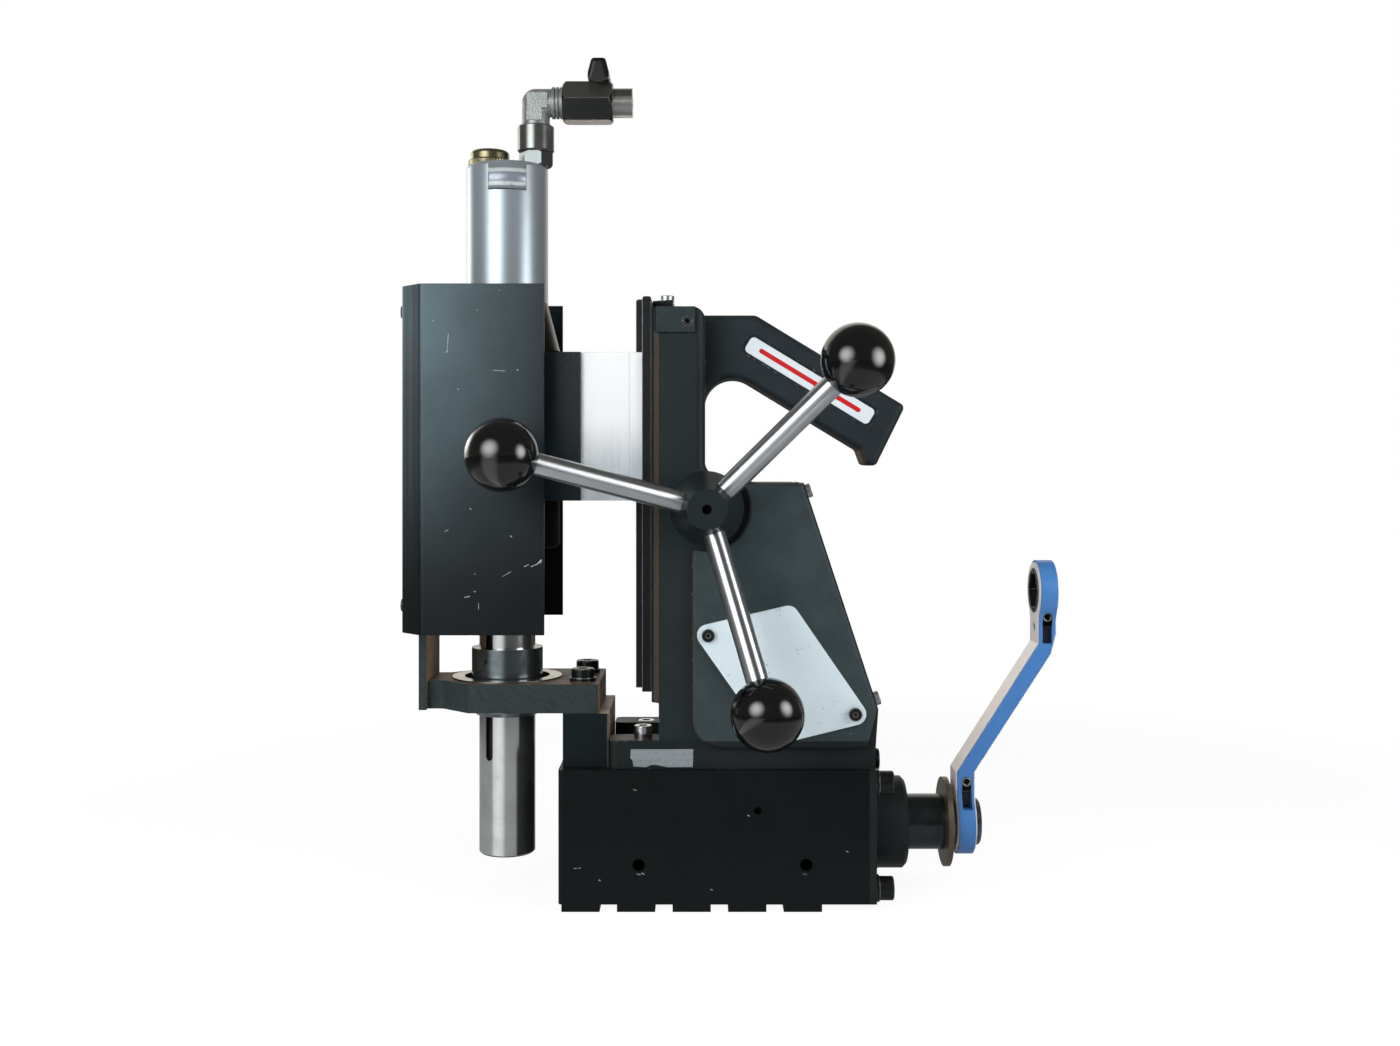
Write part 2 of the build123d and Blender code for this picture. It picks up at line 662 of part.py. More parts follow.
def magnet_rotor():
    """Shaft, core and magnets that switch the base, with what sits on the shaft's end."""
    at = (0, ROTOR_Z)
    core_x = (BASE_FRONT_X + FRONT_BUSH_LENGTH + CORE_END_GAP, POLE_REAR_X - CORE_REAR_GAP)
    shaft = rod("x", FRONT_JOURNAL_R, (BASE_FRONT_X + BUSH_END_WALL + JOURNAL_END_GAP, core_x[1]), at)
    shaft += rod("x", NECK_R, (core_x[1], WASHER_X), at)
    shaft += hexagon_x(DRIVE_HEX, (WASHER_X, RING_END_X), ROTOR_Z)
    core = rod("x", CORE_R, core_x, at) - rod("x", FRONT_JOURNAL_R, core_x, at)
    pitch = (core_x[1] - core_x[0] - MAGNET_WEB) / MAGNET_COUNT
    magnets = []
    for n in range(MAGNET_COUNT):
        start = core_x[0] + MAGNET_WEB + n * pitch
        for side in (-1, 1):
            y = sorted((side * MAGNET_INNER, side * CORE_R))
            z = (ROTOR_Z - MAGNET_HALF_Z, ROTOR_Z + MAGNET_HALF_Z)
            magnets.append(block((start, start + pitch - MAGNET_WEB), y, z) & rod("x", CORE_R, core_x, at))
    for magnet in magnets:
        core -= magnet
    hexagon = hexagon_x(DRIVE_HEX, (WASHER_X - THROUGH, RING_END_X + THROUGH), ROTOR_Z)
    washer = rod("x", WASHER_R, (WASHER_X, RING_START_X), at) - hexagon
    ring = rod("x", LOWER_RING_R, (RING_START_X, RING_END_X), at) - hexagon
    cap = rod("x", CAP_R, (RING_END_X, RING_END_X + CAP_T), at)
    cap = chamfer(cap.edges().sort_by(Axis.X)[-1], CAP_T * 0.3)
    recess = RegularPolygon(M8["socket"] / 2, 6, major_radius=False)
    cap -= Pos(RING_END_X + CAP_T / 3, 0, ROTOR_Z) * Rot(0, 90, 0) * extrude(recess, amount=CAP_T)
    return {
        "rotor_shaft": shaft,
        "rotor_core": core,
        "rotor_magnets": magnets,
        "drive_washer": washer,
        "lower_ratchet_ring": ring,
        "shaft_end_cap": cap,
    }


def ratchet_spanner():
    """Offset double ring spanner with its face plates, selectors and free ring."""
    low = (LOWER_HEAD_X, LOWER_HEAD_X + HEAD_T)
    high = (UPPER_HEAD_X, UPPER_HEAD_X + HEAD_T)
    bottom = ROTOR_Z - LOWER_HEAD_R - THROUGH
    top = UPPER_Z + UPPER_HEAD_R + THROUGH
    slim = HEAD_T - NECK_T
    left = [(low[0], bottom), (low[0], LOWER_BEND_Z), (high[0], UPPER_BEND_Z), (high[0], top)]
    right = [(high[1], top), (high[1], UPPER_BEND_Z + 2 * slim), (high[1] - slim, UPPER_BEND_Z - 2 * slim),
             (low[1], LOWER_BEND_Z), (low[1], bottom)]

    def shifted(points, distance):
        return [(x + distance, z) for x, z in points]

    def outline(inset):
        heads = Pos(0, ROTOR_Z) * Circle(LOWER_HEAD_R - inset)
        heads += Pos(0, UPPER_Z) * Circle(UPPER_HEAD_R - inset)
        half = NECK_HALF_Y - inset
        neck = Pos(0, (ROTOR_Z + UPPER_Z) / 2) * Rectangle(2 * half, UPPER_Z - ROTOR_Z)
        shape = heads + neck
        for vertex in shape.vertices():
            inner = ROTOR_Z + 1 < vertex.Y < UPPER_Z - 1 and abs(abs(vertex.X) - half) < 0.01
            if inner:
                corner = Vector(vertex.X, vertex.Y)
                nearest = min(shape.vertices(), key=lambda v: (Vector(v.X, v.Y) - corner).length)
                shape = fillet(nearest, NECK_BLEND_R)
        flat = Plane(origin=(LOWER_HEAD_X - HEAD_T, 0, 0), x_dir=(0, 1, 0), z_dir=(1, 0, 0)) * shape
        return extrude(flat, amount=HEAD_OFFSET + 3 * HEAD_T, dir=(1, 0, 0))

    wide = both(LOWER_HEAD_R + THROUGH)
    skin = FACE_PLATE_T
    body = profile_y(shifted(left, skin) + shifted(right, -skin), wide) & outline(0)
    near_plate = profile_y(left + shifted(left, skin)[::-1], wide) & outline(FACE_PLATE_INSET)
    far_plate = profile_y(right + shifted(right, -skin)[::-1], wide) & outline(FACE_PLATE_INSET)
    low_span = (low[0] - THROUGH, low[1] + THROUGH)
    high_span = (high[0] - THROUGH, high[1] + THROUGH)
    body -= rod("x", LOWER_RING_R + RUNNING_FIT, low_span, (0, ROTOR_Z))
    body -= rod("x", UPPER_RING_R + RUNNING_FIT, high_span, (0, UPPER_Z))
    plates = []
    for plate in (near_plate, far_plate):
        plate -= rod("x", LOWER_RING_R + OPEN_GAP, low_span, (0, ROTOR_Z))
        plate -= rod("x", UPPER_RING_R + OPEN_GAP, high_span, (0, UPPER_Z))
        plates.append(plate)
    tell_x = (high[0] - THROUGH, high[0] + HEAD_T / 3)
    tell_hole = rod("x", TELL_HOLE_R, tell_x, (0, UPPER_Z - TELL_HOLE_DROP))
    body -= tell_hole
    plates[0] -= tell_hole

    selectors = []
    slot_w, slot_l, slot_d = SELECTOR_SLOT
    low_slot = (sum(low) / 2 + LOWER_SELECTOR_SHIFT, ROTOR_Z + LOWER_SELECTOR_RISE)
    high_slot = (sum(high) / 2, UPPER_Z - UPPER_SELECTOR_DROP)
    for x, z in (low_slot, high_slot):
        slot_y = (-LOWER_HEAD_R - THROUGH, slot_d - NECK_HALF_Y)
        bow_z = z + (slot_l - slot_w) / 2
        body -= block((x - slot_w / 2, x + slot_w / 2), slot_y, (z - slot_l / 2, bow_z))
        body -= rod("y", slot_w / 2, slot_y, (x, bow_z))
        half = slot_w / 2 - SLIDING_FIT
        back = slot_y[1] - SLIDING_FIT
        front = back - SELECTOR_T
        tip = front - SELECTOR_PIN_H
        slider = block((x - half, x + half), (front, back), (bow_z + half - SELECTOR_LENGTH, bow_z))
        slider += rod("y", half, (front, back), (x, bow_z))
        slider += rod("y", SELECTOR_PIN_R, (tip, front), (x, bow_z))
        slider -= rod("y", SELECTOR_HOLE_R, (tip - THROUGH, front), (x, bow_z))
        selectors.append(slider)

    ring_x = (high[0] - UPPER_RING_PROUD, high[1] + UPPER_RING_PROUD)
    ring = rod("x", UPPER_RING_R, ring_x, (0, UPPER_Z))
    ring -= hexagon_x(DRIVE_HEX, (ring_x[0] - THROUGH, ring_x[1] + THROUGH), UPPER_Z)
    return {
        "spanner_body": body,
        "spanner_face_plates": plates,
        "lower_selector": selectors[0],
        "upper_selector": selectors[1],
        "upper_ratchet_ring": ring,
    }


def guard_side():
    """Riser, bracket with its arm, steady bearing, guard and their screws."""
    axis = (SPINDLE_X, 0)
    riser = block(RISER_X, both(RISER_HALF_Y), (BASE_TOP, RISER_TOP))
    riser = chamfer(riser.edges().filter_by(Axis.Z), RISER_CHAMFER)
    half = [(BRACKET_REAR_X, RISER_HALF_Y), (BRACKET_CORNER_X, RISER_HALF_Y),
            (BRACKET_NECK_X, BRACKET_NECK_HALF_Y), (ARM_X[1], BRACKET_NECK_HALF_Y)]
    plan = half + [(x, -y) for x, y in half[::-1]]
    rounds = dict(enumerate(BRACKET_ROUNDS))
    rounds.update({len(plan) - 1 - n: radius for n, radius in enumerate(BRACKET_ROUNDS)})
    bracket = profile_z(plan, (RISER_TOP, BRACKET_TOP), rounds)
    bracket += block(ARM_X, both(ARM_HALF_Y), (RISER_TOP, TEE_TOP))
    bracket += block((TEE_FRONT_X, ARM_X[1]), both(TEE_HALF_Y), (TEE_BOTTOM, TEE_TOP))
    bracket -= rod("z", BEARING_OUTER_R, (BEARING_SEAT_Z, BRACKET_TOP + THROUGH), axis)
    bracket -= rod("z", BEARING_LIP_R, (RISER_TOP - THROUGH, BRACKET_TOP), axis)
    for at in BRACKET_SCREWS:
        hole = rod("z", M8["shank"] + SCREW_FIT, (BASE_TOP - THROUGH, BRACKET_TOP + THROUGH), at)
        riser -= hole
        bracket -= hole

    race_z = (BEARING_SEAT_Z + BEARING_TOP) / 2
    race_r = (BEARING_RACE_R + COLLAR_R) / 2
    groove = race(race_r, STEADY_BALL_R, race_z)
    outer = tube(BEARING_OUTER_R, BEARING_RACE_R, (BEARING_SEAT_Z, BEARING_TOP)) - groove
    bore = SPINDLE_R + RUNNING_FIT
    collar = rod("z", COLLAR_R, COLLAR_Z, axis)
    collar = chamfer(collar.edges().sort_by(Axis.Z)[0], COLLAR_CHAMFER)
    collar -= rod("z", bore, (COLLAR_Z[0] - THROUGH, COLLAR_Z[1] + THROUGH), axis)
    collar -= groove
    balls = ball_ring(race_r, STEADY_BALL_R, STEADY_BALL_COUNT, race_z)

    place = Pos(SPINDLE_X, 0, DOG_Z) * Rot(0, 0, KEY_ANGLE)
    collar -= place * rod("x", DOG_R, (0, COLLAR_R + THROUGH))
    dog_end = COLLAR_R - DOG_SINK
    dog = rod("x", DOG_R, (bore + OPEN_GAP, dog_end))
    dog += rod("x", DOG_TIP_R, (SPINDLE_R - KEYWAY_DEPTH + OPEN_GAP, dog_end))
    socket = extrude(RegularPolygon(DOG_SOCKET / 2, 6, major_radius=False), amount=SOCKET_DEPTH)
    dog -= Pos(dog_end - SOCKET_DEPTH / 2, 0, 0) * Rot(0, 90, 0) * socket

    def shell(inset, rear_x):
        front = GUARD_FRONT_X + inset
        side = GUARD_HALF_Y - inset
        lean = inset * (math.hypot(*GUARD_BEVEL) - GUARD_BEVEL[1]) / GUARD_BEVEL[0]
        lean_x = inset * (math.hypot(*GUARD_BEVEL) - GUARD_BEVEL[0]) / GUARD_BEVEL[1]
        corner_x = GUARD_FRONT_X + GUARD_BEVEL[0] + lean_x
        corner_y = GUARD_HALF_Y - GUARD_BEVEL[1] - lean
        edge = [(rear_x, side), (corner_x, side), (front, corner_y)]
        radius = GUARD_BEND_R - inset
        bends = {1: radius, 2: radius, 3: radius, 4: radius}
        return profile_z(edge + [(x, -y) for x, y in edge[::-1]], GUARD_Z, bends)

    guard = shell(0, GUARD_REAR_X) - shell(GUARD_T, GUARD_REAR_X + THROUGH)
    guard_screws = []
    for y, z in GUARD_SCREWS:
        hole = rod("x", M4["shank"] + SCREW_FIT, (GUARD_FRONT_X - THROUGH, ARM_X[0]), (y, z))
        guard -= hole
        bracket -= hole
        grip = ARM_X[0] - GUARD_FRONT_X
        guard_screws.append(Pos(GUARD_FRONT_X, y, z) * Rot(0, -90, 0) * cap_screw(M4, grip))
    low_head = {**M8, **BRACKET_SCREW_HEAD}
    reach = BRACKET_TOP - BASE_TOP + SCREW_BITE
    bracket_screws = [Pos(x, y, BRACKET_TOP) * cap_screw(low_head, reach, washer=True)
                      for x, y in BRACKET_SCREWS]
    return {
        "riser_block": riser,
        "support_bracket": bracket,
        "washer_screws": bracket_screws,
        "steady_bearing_outer": outer,
        "guard": guard,
        "button_screws": guard_screws,
        "drive_collar": [collar, place * dog] + balls,
    }


def slant_x(z):
    """X of the frame's slanted rear face at a height, on the outside of its cover."""
    share = (BOX_TOP - z) / (BOX_TOP - SLANT_LOW_Z)
    return BOX_TOP_X + share * (FRAME_REAR_X - BOX_TOP_X)


SLANT_ANGLE = math.atan2(FRAME_REAR_X - BOX_TOP_X, BOX_TOP - SLANT_LOW_Z)
COVER_SHIFT = COVER_T / math.cos(SLANT_ANGLE)


def plate_arc_centre(index):
    """Centre of the arc that rounds one of the blanking plate's corners."""
    corner = Vector(*PLATE_CORNERS[index])
    ahead = (Vector(*PLATE_CORNERS[index + 1]) - corner).normalized()
    back = (Vector(*PLATE_CORNERS[index - 1]) - corner).normalized()
    half_angle = math.radians(ahead.get_angle(back) / 2)
    centre = corner + (ahead + back).normalized() * (PLATE_CORNER_R / math.sin(half_angle))
    return (centre.X, centre.Y)


PLATE_SCREWS = [plate_arc_centre(0), plate_arc_centre(2)]
PLATE_MIDDLE = tuple(sum(values) / len(PLATE_CORNERS) for values in zip(*PLATE_CORNERS))
COVER_LENGTH = math.hypot(FRAME_REAR_X - BOX_TOP_X, BOX_TOP - SLANT_LOW_Z)
COVER_SCREWS = [(side * COVER_SCREW_Y, along) for side in (-1, 1)
                for along in (COVER_SCREW_INSET, COVER_LENGTH - COVER_SCREW_INSET)]


def on_slant(y, along):
    """Frame on the cover's outer face with local +Z pointing outwards."""
    x = BOX_TOP_X + along * math.sin(SLANT_ANGLE)
    z = BOX_TOP - along * math.cos(SLANT_ANGLE)
    return Pos(x, y, z) * Rot(0, 90 - math.degrees(SLANT_ANGLE), 0)


def groove_outline():
    """Dovetail groove in plan, wider than the slide's tongue by the gib."""
    wide = SLIDING_FIT / math.cos(DOVETAIL_ANGLE)
    gib = GIB_T / math.cos(DOVETAIL_ANGLE) + 2 * SLIDING_FIT
    depth_x = TONGUE_TIP_X + SLIDING_FIT
    flare = (depth_x - FRAME_FRONT_X) * math.tan(DOVETAIL_ANGLE)
    neck = TONGUE_NECK_Y + FRAME_GAP * math.tan(DOVETAIL_ANGLE)
    plain = neck + wide
    mouth_x = FRAME_FRONT_X - THROUGH
    return [(mouth_x, -plain), (FRAME_FRONT_X, -plain), (depth_x, -plain - flare),
            (depth_x, plain + flare + gib), (FRAME_FRONT_X, plain + gib), (mouth_x, plain + gib)]


def cover_blank():
    """Rear cover before its screw holes, lying in the slanted face."""
    cover = block((-COVER_T, 0), both(COVER_HALF_Y), (0, COVER_LENGTH))
    cover = fillet(cover.edges().filter_by(Axis.X), COVER_CORNER_R)
    return Pos(BOX_TOP_X, 0, BOX_TOP) * Rot(0, 180 - math.degrees(SLANT_ANGLE), 0) * Rot(0, 0, 180) * cover


def frame_casting():
    """Column, box and handle in one casting."""
    rear_low = FRAME_REAR_X - COVER_SHIFT
    top_rear = BOX_TOP_X - COVER_SHIFT
    outline = [(FRAME_FRONT_X, BASE_TOP), (FOOT_REAR_X, BASE_TOP), (FOOT_REAR_X, FOOT_REAR_Z),
               (FRAME_REAR_X, SLANT_LOW_Z), (rear_low, SLANT_LOW_Z), (top_rear, BOX_TOP),
               (HANDLE_KNEE_X, BOX_TOP), (COLUMN_REAR_X, SADDLE_Z), (COLUMN_REAR_X, FRAME_TOP),
               (FRAME_FRONT_X, FRAME_TOP)]
    wide = both(COLUMN_HALF_Y)
    body = profile_y(outline, wide, {7: SADDLE_R})

    def opening_edge(p):
        on_side = abs(abs(p.Y) - COLUMN_HALF_Y) < 0.01
        return on_side and p.X > 0 and BOX_TOP - 1 < p.Z < FRAME_TOP - 1 and p.X < top_rear - 1

    body = fillet(edges_near(body, opening_edge), COLUMN_ROUND)
    round_at = (COLUMN_REAR_X - COLUMN_TOP_R, FRAME_TOP - COLUMN_TOP_R)
    waste_y = both(COLUMN_HALF_Y + THROUGH)
    waste = block((round_at[0], COLUMN_REAR_X + THROUGH), waste_y, (round_at[1], FRAME_TOP + THROUGH))
    body -= waste - rod("y", COLUMN_TOP_R, waste_y, round_at)
    edge_y = COLUMN_HALF_Y - 0.01
    front_edges = edges_near(body, lambda p: abs(p.X - FRAME_FRONT_X) < 0.01 and abs(p.Y) > edge_y)
    body = chamfer(front_edges, COLUMN_CHAMFER)
    relief_x = (FRAME_FRONT_X - THROUGH, FRAME_FRONT_X + WAYS_RELIEF)
    body -= block(relief_x, both(COLUMN_HALF_Y + THROUGH), (BASE_TOP - THROUGH, WAYS_BOTTOM))

    foot_x = (FOOT_FRONT_X, FRAME_FRONT_X + WAYS_RELIEF + THROUGH)
    for side in (-1, 1):
        lug_y = sorted((side * FOOT_CHANNEL_Y, side * COLUMN_HALF_Y))
        lug = block(foot_x, lug_y, (BASE_TOP, FOOT_TOP))
        upright = lug.edges().filter_by(Axis.Z)
        body += fillet([edge for edge in upright if edge.center().X < foot_x[0] + 0.1], FOOT_CORNER_R)

    crest = [(0, HANDLE_CREST), (HANDLE_KNEE_X, HANDLE_CREST), HANDLE_TIP, HANDLE_HEEL, HANDLE_HOOK,
             HANDLE_THROAT]
    slope = (HANDLE_TIP[1] - HANDLE_CREST) / (HANDLE_TIP[0] - HANDLE_KNEE_X)
    arch = (COLUMN_REAR_X, HANDLE_THROAT[1] + slope * (COLUMN_REAR_X - HANDLE_THROAT[0]))
    low = arch[1] - 2 * HANDLE_ARCH_R
    grip_points = crest + [arch, (COLUMN_REAR_X, low), (0, low)]
    corners = {1: HANDLE_KNEE_R, 2: HANDLE_END_R, 3: HANDLE_END_R, 4: HANDLE_HOOK_R, 5: HANDLE_END_R,
               6: HANDLE_ARCH_R}
    grip = profile_y(grip_points, both(HANDLE_HALF_Y), corners)

    def grip_rim(p):
        on_side = abs(abs(p.Y) - HANDLE_HALF_Y) < 0.01
        return on_side and p.X > 0.1 and p.Z > HANDLE_HEEL[1] - 1 and not abs(p.Z - low) < 0.1

    grip = fillet(edges_near(grip, grip_rim), HANDLE_EDGE_R)
    for side in (-1, 1):
        pocket = extrude(RectangleRounded(*BADGE_SIZE, BADGE_CORNER_R), amount=BADGE_DEPTH + THROUGH)
        where = Pos(BADGE_CENTRE[0], side * (HANDLE_HALF_Y - BADGE_DEPTH), BADGE_CENTRE[1])
        turn = Rot(0, BADGE_ANGLE, 0) * Rot(90 if side < 0 else -90, 0, 0)
        grip -= where * turn * pocket
    body += grip

    pocket_at = (PINION_X, PINION_Z)
    panel_top = BOX_TOP - PANEL_REAR_INSET
    panel_points = [(PANEL_LEFT_X, PANEL_BOTTOM), (FRAME_REAR_X - PANEL_LOW_INSET, PANEL_BOTTOM),
                    (FRAME_REAR_X - PANEL_REAR_INSET, SLANT_LOW_Z),
                    (slant_x(panel_top) - PANEL_REAR_INSET, panel_top), (PINION_X, panel_top),
                    (PINION_X, PANEL_SHOULDER_Z), (PANEL_LEFT_X, PANEL_SHOULDER_Z)]
    panel_rounds = {0: PANEL_CORNER_R[0], 2: PANEL_CORNER_R[1], 6: PANEL_CORNER_R[1]}
    for side in (-1, 1):
        span = sorted((side * (COLUMN_HALF_Y - 1), side * PANEL_Y))
        panel = profile_y(panel_points, span, panel_rounds)
        panel -= rod("y", HUB_POCKET_R, both(PANEL_Y + THROUGH), pocket_at)
        rim = edges_near(panel, lambda p: abs(p.Y - side * PANEL_Y) < 0.01)
        body += fillet(rim, PANEL_EDGE_R)
        pad_y = sorted((side * COLUMN_HALF_Y, side * (COLUMN_HALF_Y + PAD_PROUD)))
        pad = block(PAD_X, pad_y, (PAD_BOTTOM, FRAME_TOP))
        body += pad

    cavity = [(CAVITY_X, CAVITY_Z[0]), (CAVITY_REAR_X, CAVITY_Z[0]), (CAVITY_REAR_X, CAVITY_SILL_Z),
              (slant_x(CAVITY_SILL_Z) + THROUGH, CAVITY_SILL_Z),
              (slant_x(CAVITY_Z[1]) + THROUGH, CAVITY_Z[1]), (CAVITY_X, CAVITY_Z[1])]
    body -= profile_y(cavity, both(CAVITY_HALF_Y), {0: CAVITY_R, 5: CAVITY_R})
    body -= cover_blank()
    body -= rod("y", SWITCH_OPENING_R, (-PANEL_Y - THROUGH, 0), PLATE_MIDDLE)

    body -= profile_z(groove_outline(), (FOOT_TOP, FRAME_TOP + THROUGH))
    rack_slot = (TONGUE_TIP_X - THROUGH, RACK_PITCH_X + RACK_MODULE + OPEN_GAP)
    body -= block(rack_slot, both(RACK_HALF_Y + OPEN_GAP), (FOOT_TOP, FRAME_TOP + THROUGH))
    body -= rod("y", PINION_BUSH_R, both(PANEL_Y + THROUGH), pocket_at)
    for (x, y), seat in zip(FOOT_SCREWS, FOOT_SEATS):
        body -= rod("z", M6["shank"] + SCREW_FIT, (BASE_TOP - THROUGH, seat + THROUGH), (x, y))
    body -= rod("z", M6["head"] + OPEN_GAP, (SUNK_SEAT, FOOT_TOP + THROUGH), SUNK_SCREW)
    body -= rod("y", M6["shank"], LOCK_SCREW_Y, (LOCK_SCREW_X, LOCK_SCREW_Z))
    for z in GIB_SCREW_Z:
        body -= rod("y", M6["shank"], (0, COLUMN_HALF_Y + THROUGH), (gib_screw_x(), z))
    for y, along in COVER_SCREWS:
        hole = rod("z", M4["shank"] + SCREW_FIT, (-COVER_SCREW_BITE, THROUGH))
        body -= on_slant(y, along) * hole
    for at in PLATE_SCREWS:
        body -= rod("y", M4["shank"] + SCREW_FIT, (-PANEL_Y - THROUGH, PLATE_SCREW_BITE - PANEL_Y), at)
    return body


def gib_screw_x():
    return (FRAME_FRONT_X + TONGUE_TIP_X) / 2


def frame_side():
    """Frame casting with its covers, gib, bushes and screws."""
    cover = cover_blank()
    cover_screws = []
    for y, along in COVER_SCREWS:
        cover -= on_slant(y, along) * rod("z", M4["shank"] + SCREW_FIT, (-COVER_T - THROUGH, THROUGH))
        screw = cap_screw({**M4, **COVER_SCREW_HEAD}, COVER_SCREW_BITE)
        cover_screws.append(on_slant(y, along) * screw)

    plate_y = (-PANEL_Y - PLATE_T, -PANEL_Y)
    plate = profile_y(PLATE_CORNERS, plate_y, {n: PLATE_CORNER_R for n in range(4)})
    plate_screws = []
    for x, z in PLATE_SCREWS:
        plate -= rod("y", M4["shank"] + SCREW_FIT, (plate_y[0] - THROUGH, plate_y[1] + THROUGH), (x, z))
        screw = cap_screw(M4, PLATE_T + PLATE_SCREW_BITE)
        plate_screws.append(Pos(x, plate_y[0], z) * Rot(90, 0, 0) * screw)

    groove = groove_outline()
    gib_wide = GIB_T / math.cos(DOVETAIL_ANGLE)
    outer_face = [groove[4], groove[3]]
    gib_points = outer_face + [(x, y - gib_wide) for x, y in outer_face[::-1]]
    gib = profile_z(gib_points, (WAYS_BOTTOM + GIB_END_GAP, FRAME_TOP - GIB_END_GAP))
    trench = profile_z(groove, (FOOT_TOP, FRAME_TOP + THROUGH))
    set_screws = []
    for z in GIB_SCREW_Z:
        set_screws.append(rod("y", M6["shank"], (0, COLUMN_HALF_Y), (gib_screw_x(), z)) - trench)
    lock = rod("y", M6["shank"], LOCK_SCREW_Y, (LOCK_SCREW_X, LOCK_SCREW_Z))
    socket = extrude(RegularPolygon(DOG_SOCKET / 2, 6, major_radius=False), amount=M6["height"])
    lock -= Pos(LOCK_SCREW_X, LOCK_SCREW_Y[0], LOCK_SCREW_Z) * Rot(-90, 0, 0) * socket
    set_screws.append(lock)

    bushes = []
    for side in (-1, 1):
        span = sorted((side * (RACK_HALF_Y + BUSH_RACK_GAP), side * COLUMN_HALF_Y))
        bush = rod("y", PINION_BUSH_R, span, (PINION_X, PINION_Z))
        bushes.append(bush - rod("y", PINION_SHAFT_R + RUNNING_FIT, both(PANEL_Y), (PINION_X, PINION_Z)))
    foot_screws = [Pos(x, y, seat) * cap_screw(M6, seat - BASE_TOP + SCREW_BITE)
                   for (x, y), seat in zip(FOOT_SCREWS, FOOT_SEATS)]
    return {
        "frame_casting": frame_casting(),
        "foot_screws": foot_screws,
        "rear_cover": cover,
        "rear_cover_screws": cover_screws,
        "blanking_plate": plate,
        "button_screws": plate_screws,
        "gib_strip": gib,
        "gib_screws": set_screws,
        "bronze_bushes": bushes,
    }


def carriage():
    """Slide, rack and mount that carry the motor up and down."""
    rail = block((RAIL_FRONT_X, SLIDE_FRONT_X), both(RAIL_HALF_Y), SLIDE_Z)
    rail_edge = edges_near(rail, lambda p: p.X < RAIL_FRONT_X + 0.1 and p.Z > SLIDE_Z[1] - 0.1)
    slide = block((SLIDE_FRONT_X, SLIDE_REAR_X), both(SLIDE_HALF_Y), SLIDE_Z)
    top_edges = edges_near(slide, lambda p: abs(p.Y) < 0.1 and p.Z > SLIDE_Z[1] - 0.1)
    slide = fillet(top_edges, SLIDE_ROUND) + fillet(rail_edge, SLIDE_ROUND)
    tongue = [(SLIDE_REAR_X, -TONGUE_NECK_Y), (TONGUE_TIP_X, -TONGUE_TIP_Y),
              (TONGUE_TIP_X, TONGUE_TIP_Y), (SLIDE_REAR_X, TONGUE_NECK_Y)]
    slide += profile_z(tongue, SLIDE_Z)
    stop_at = (STOP_SCREW_X, STOP_SCREW_Y)
    slide -= rod("z", M5["shank"] + SCREW_FIT, (SLIDE_Z[1] - SCREW_BITE, SLIDE_Z[1] + THROUGH), stop_at)
    stop_screw = Pos(*stop_at, SLIDE_Z[1]) * cap_screw(M5, SCREW_BITE)

    pitch = math.pi * RACK_MODULE
    root_x = RACK_PITCH_X - DEDENDUM * RACK_MODULE
    tip_x = RACK_PITCH_X + RACK_ADDENDUM * RACK_MODULE
    half = pitch / 4 - BACKLASH / 2
    wide = half + (RACK_PITCH_X - root_x) * math.tan(PRESSURE_ANGLE)
    slim = half - (tip_x - RACK_PITCH_X) * math.tan(PRESSURE_ANGLE)
    first = PINION_Z - (RACK_TEETH - 1) * pitch / 2
    if RACK_TEETH % 2:
        first -= pitch / 2
    points = [(TONGUE_TIP_X, first - pitch / 2), (root_x, first - pitch / 2)]
    for n in range(RACK_TEETH):
        z = first + n * pitch
        points += [(root_x, z - wide), (tip_x, z - slim), (tip_x, z + slim), (root_x, z + wide)]
    end_z = first + (RACK_TEETH - 0.5) * pitch
    points += [(root_x, end_z), (TONGUE_TIP_X, end_z)]
    rack = profile_y(points, both(RACK_HALF_Y))

    past_z = (MOUNT_Z[0] - THROUGH, MOUNT_Z[1] + THROUGH)
    adapter = block((SPACER_REAR_X, SLIDE_FRONT_X), both(SPACER_HALF_Y), MOUNT_Z)
    adapter -= block((RAIL_FRONT_X, SLIDE_FRONT_X + THROUGH), both(RAIL_HALF_Y), past_z)
    spacer = block((MOUNT_REAR_X, SPACER_REAR_X), both(SPACER_HALF_Y), MOUNT_Z)
    axis = (SPINDLE_X, 0)
    mount = rod("z", MOUNT_R, MOUNT_Z, axis) + block((SPINDLE_X, MOUNT_REAR_X), both(MOUNT_R), MOUNT_Z)
    mount -= rod("z", HOUSING_R, past_z, axis)
    bolts = []
    seat_x = SLIDE_FRONT_X - M6["height"]
    grip = seat_x - MOUNT_REAR_X + MOUNT_BOLT_BITE
    for y, z in MOUNT_BOLTS:
        hole = rod("x", M6["shank"] + SCREW_FIT, (MOUNT_REAR_X - MOUNT_BOLT_BITE, SLIDE_FRONT_X), (y, z))
        mount -= hole
        spacer -= hole
        adapter -= hole
        adapter -= rod("x", M6["head"] + SCREW_FIT, (seat_x, SLIDE_FRONT_X + THROUGH), (y, z))
        bolts.append(Pos(seat_x, y, z) * Rot(0, 90, 0) * cap_screw(M6, grip))
    return {
        "slide_plate": slide,
        "rack": rack,
        "adapter_plate": adapter,
        "spacer_block": spacer,
        "mount_block": mount,
        "carriage_screws": bolts + [stop_screw],
    }


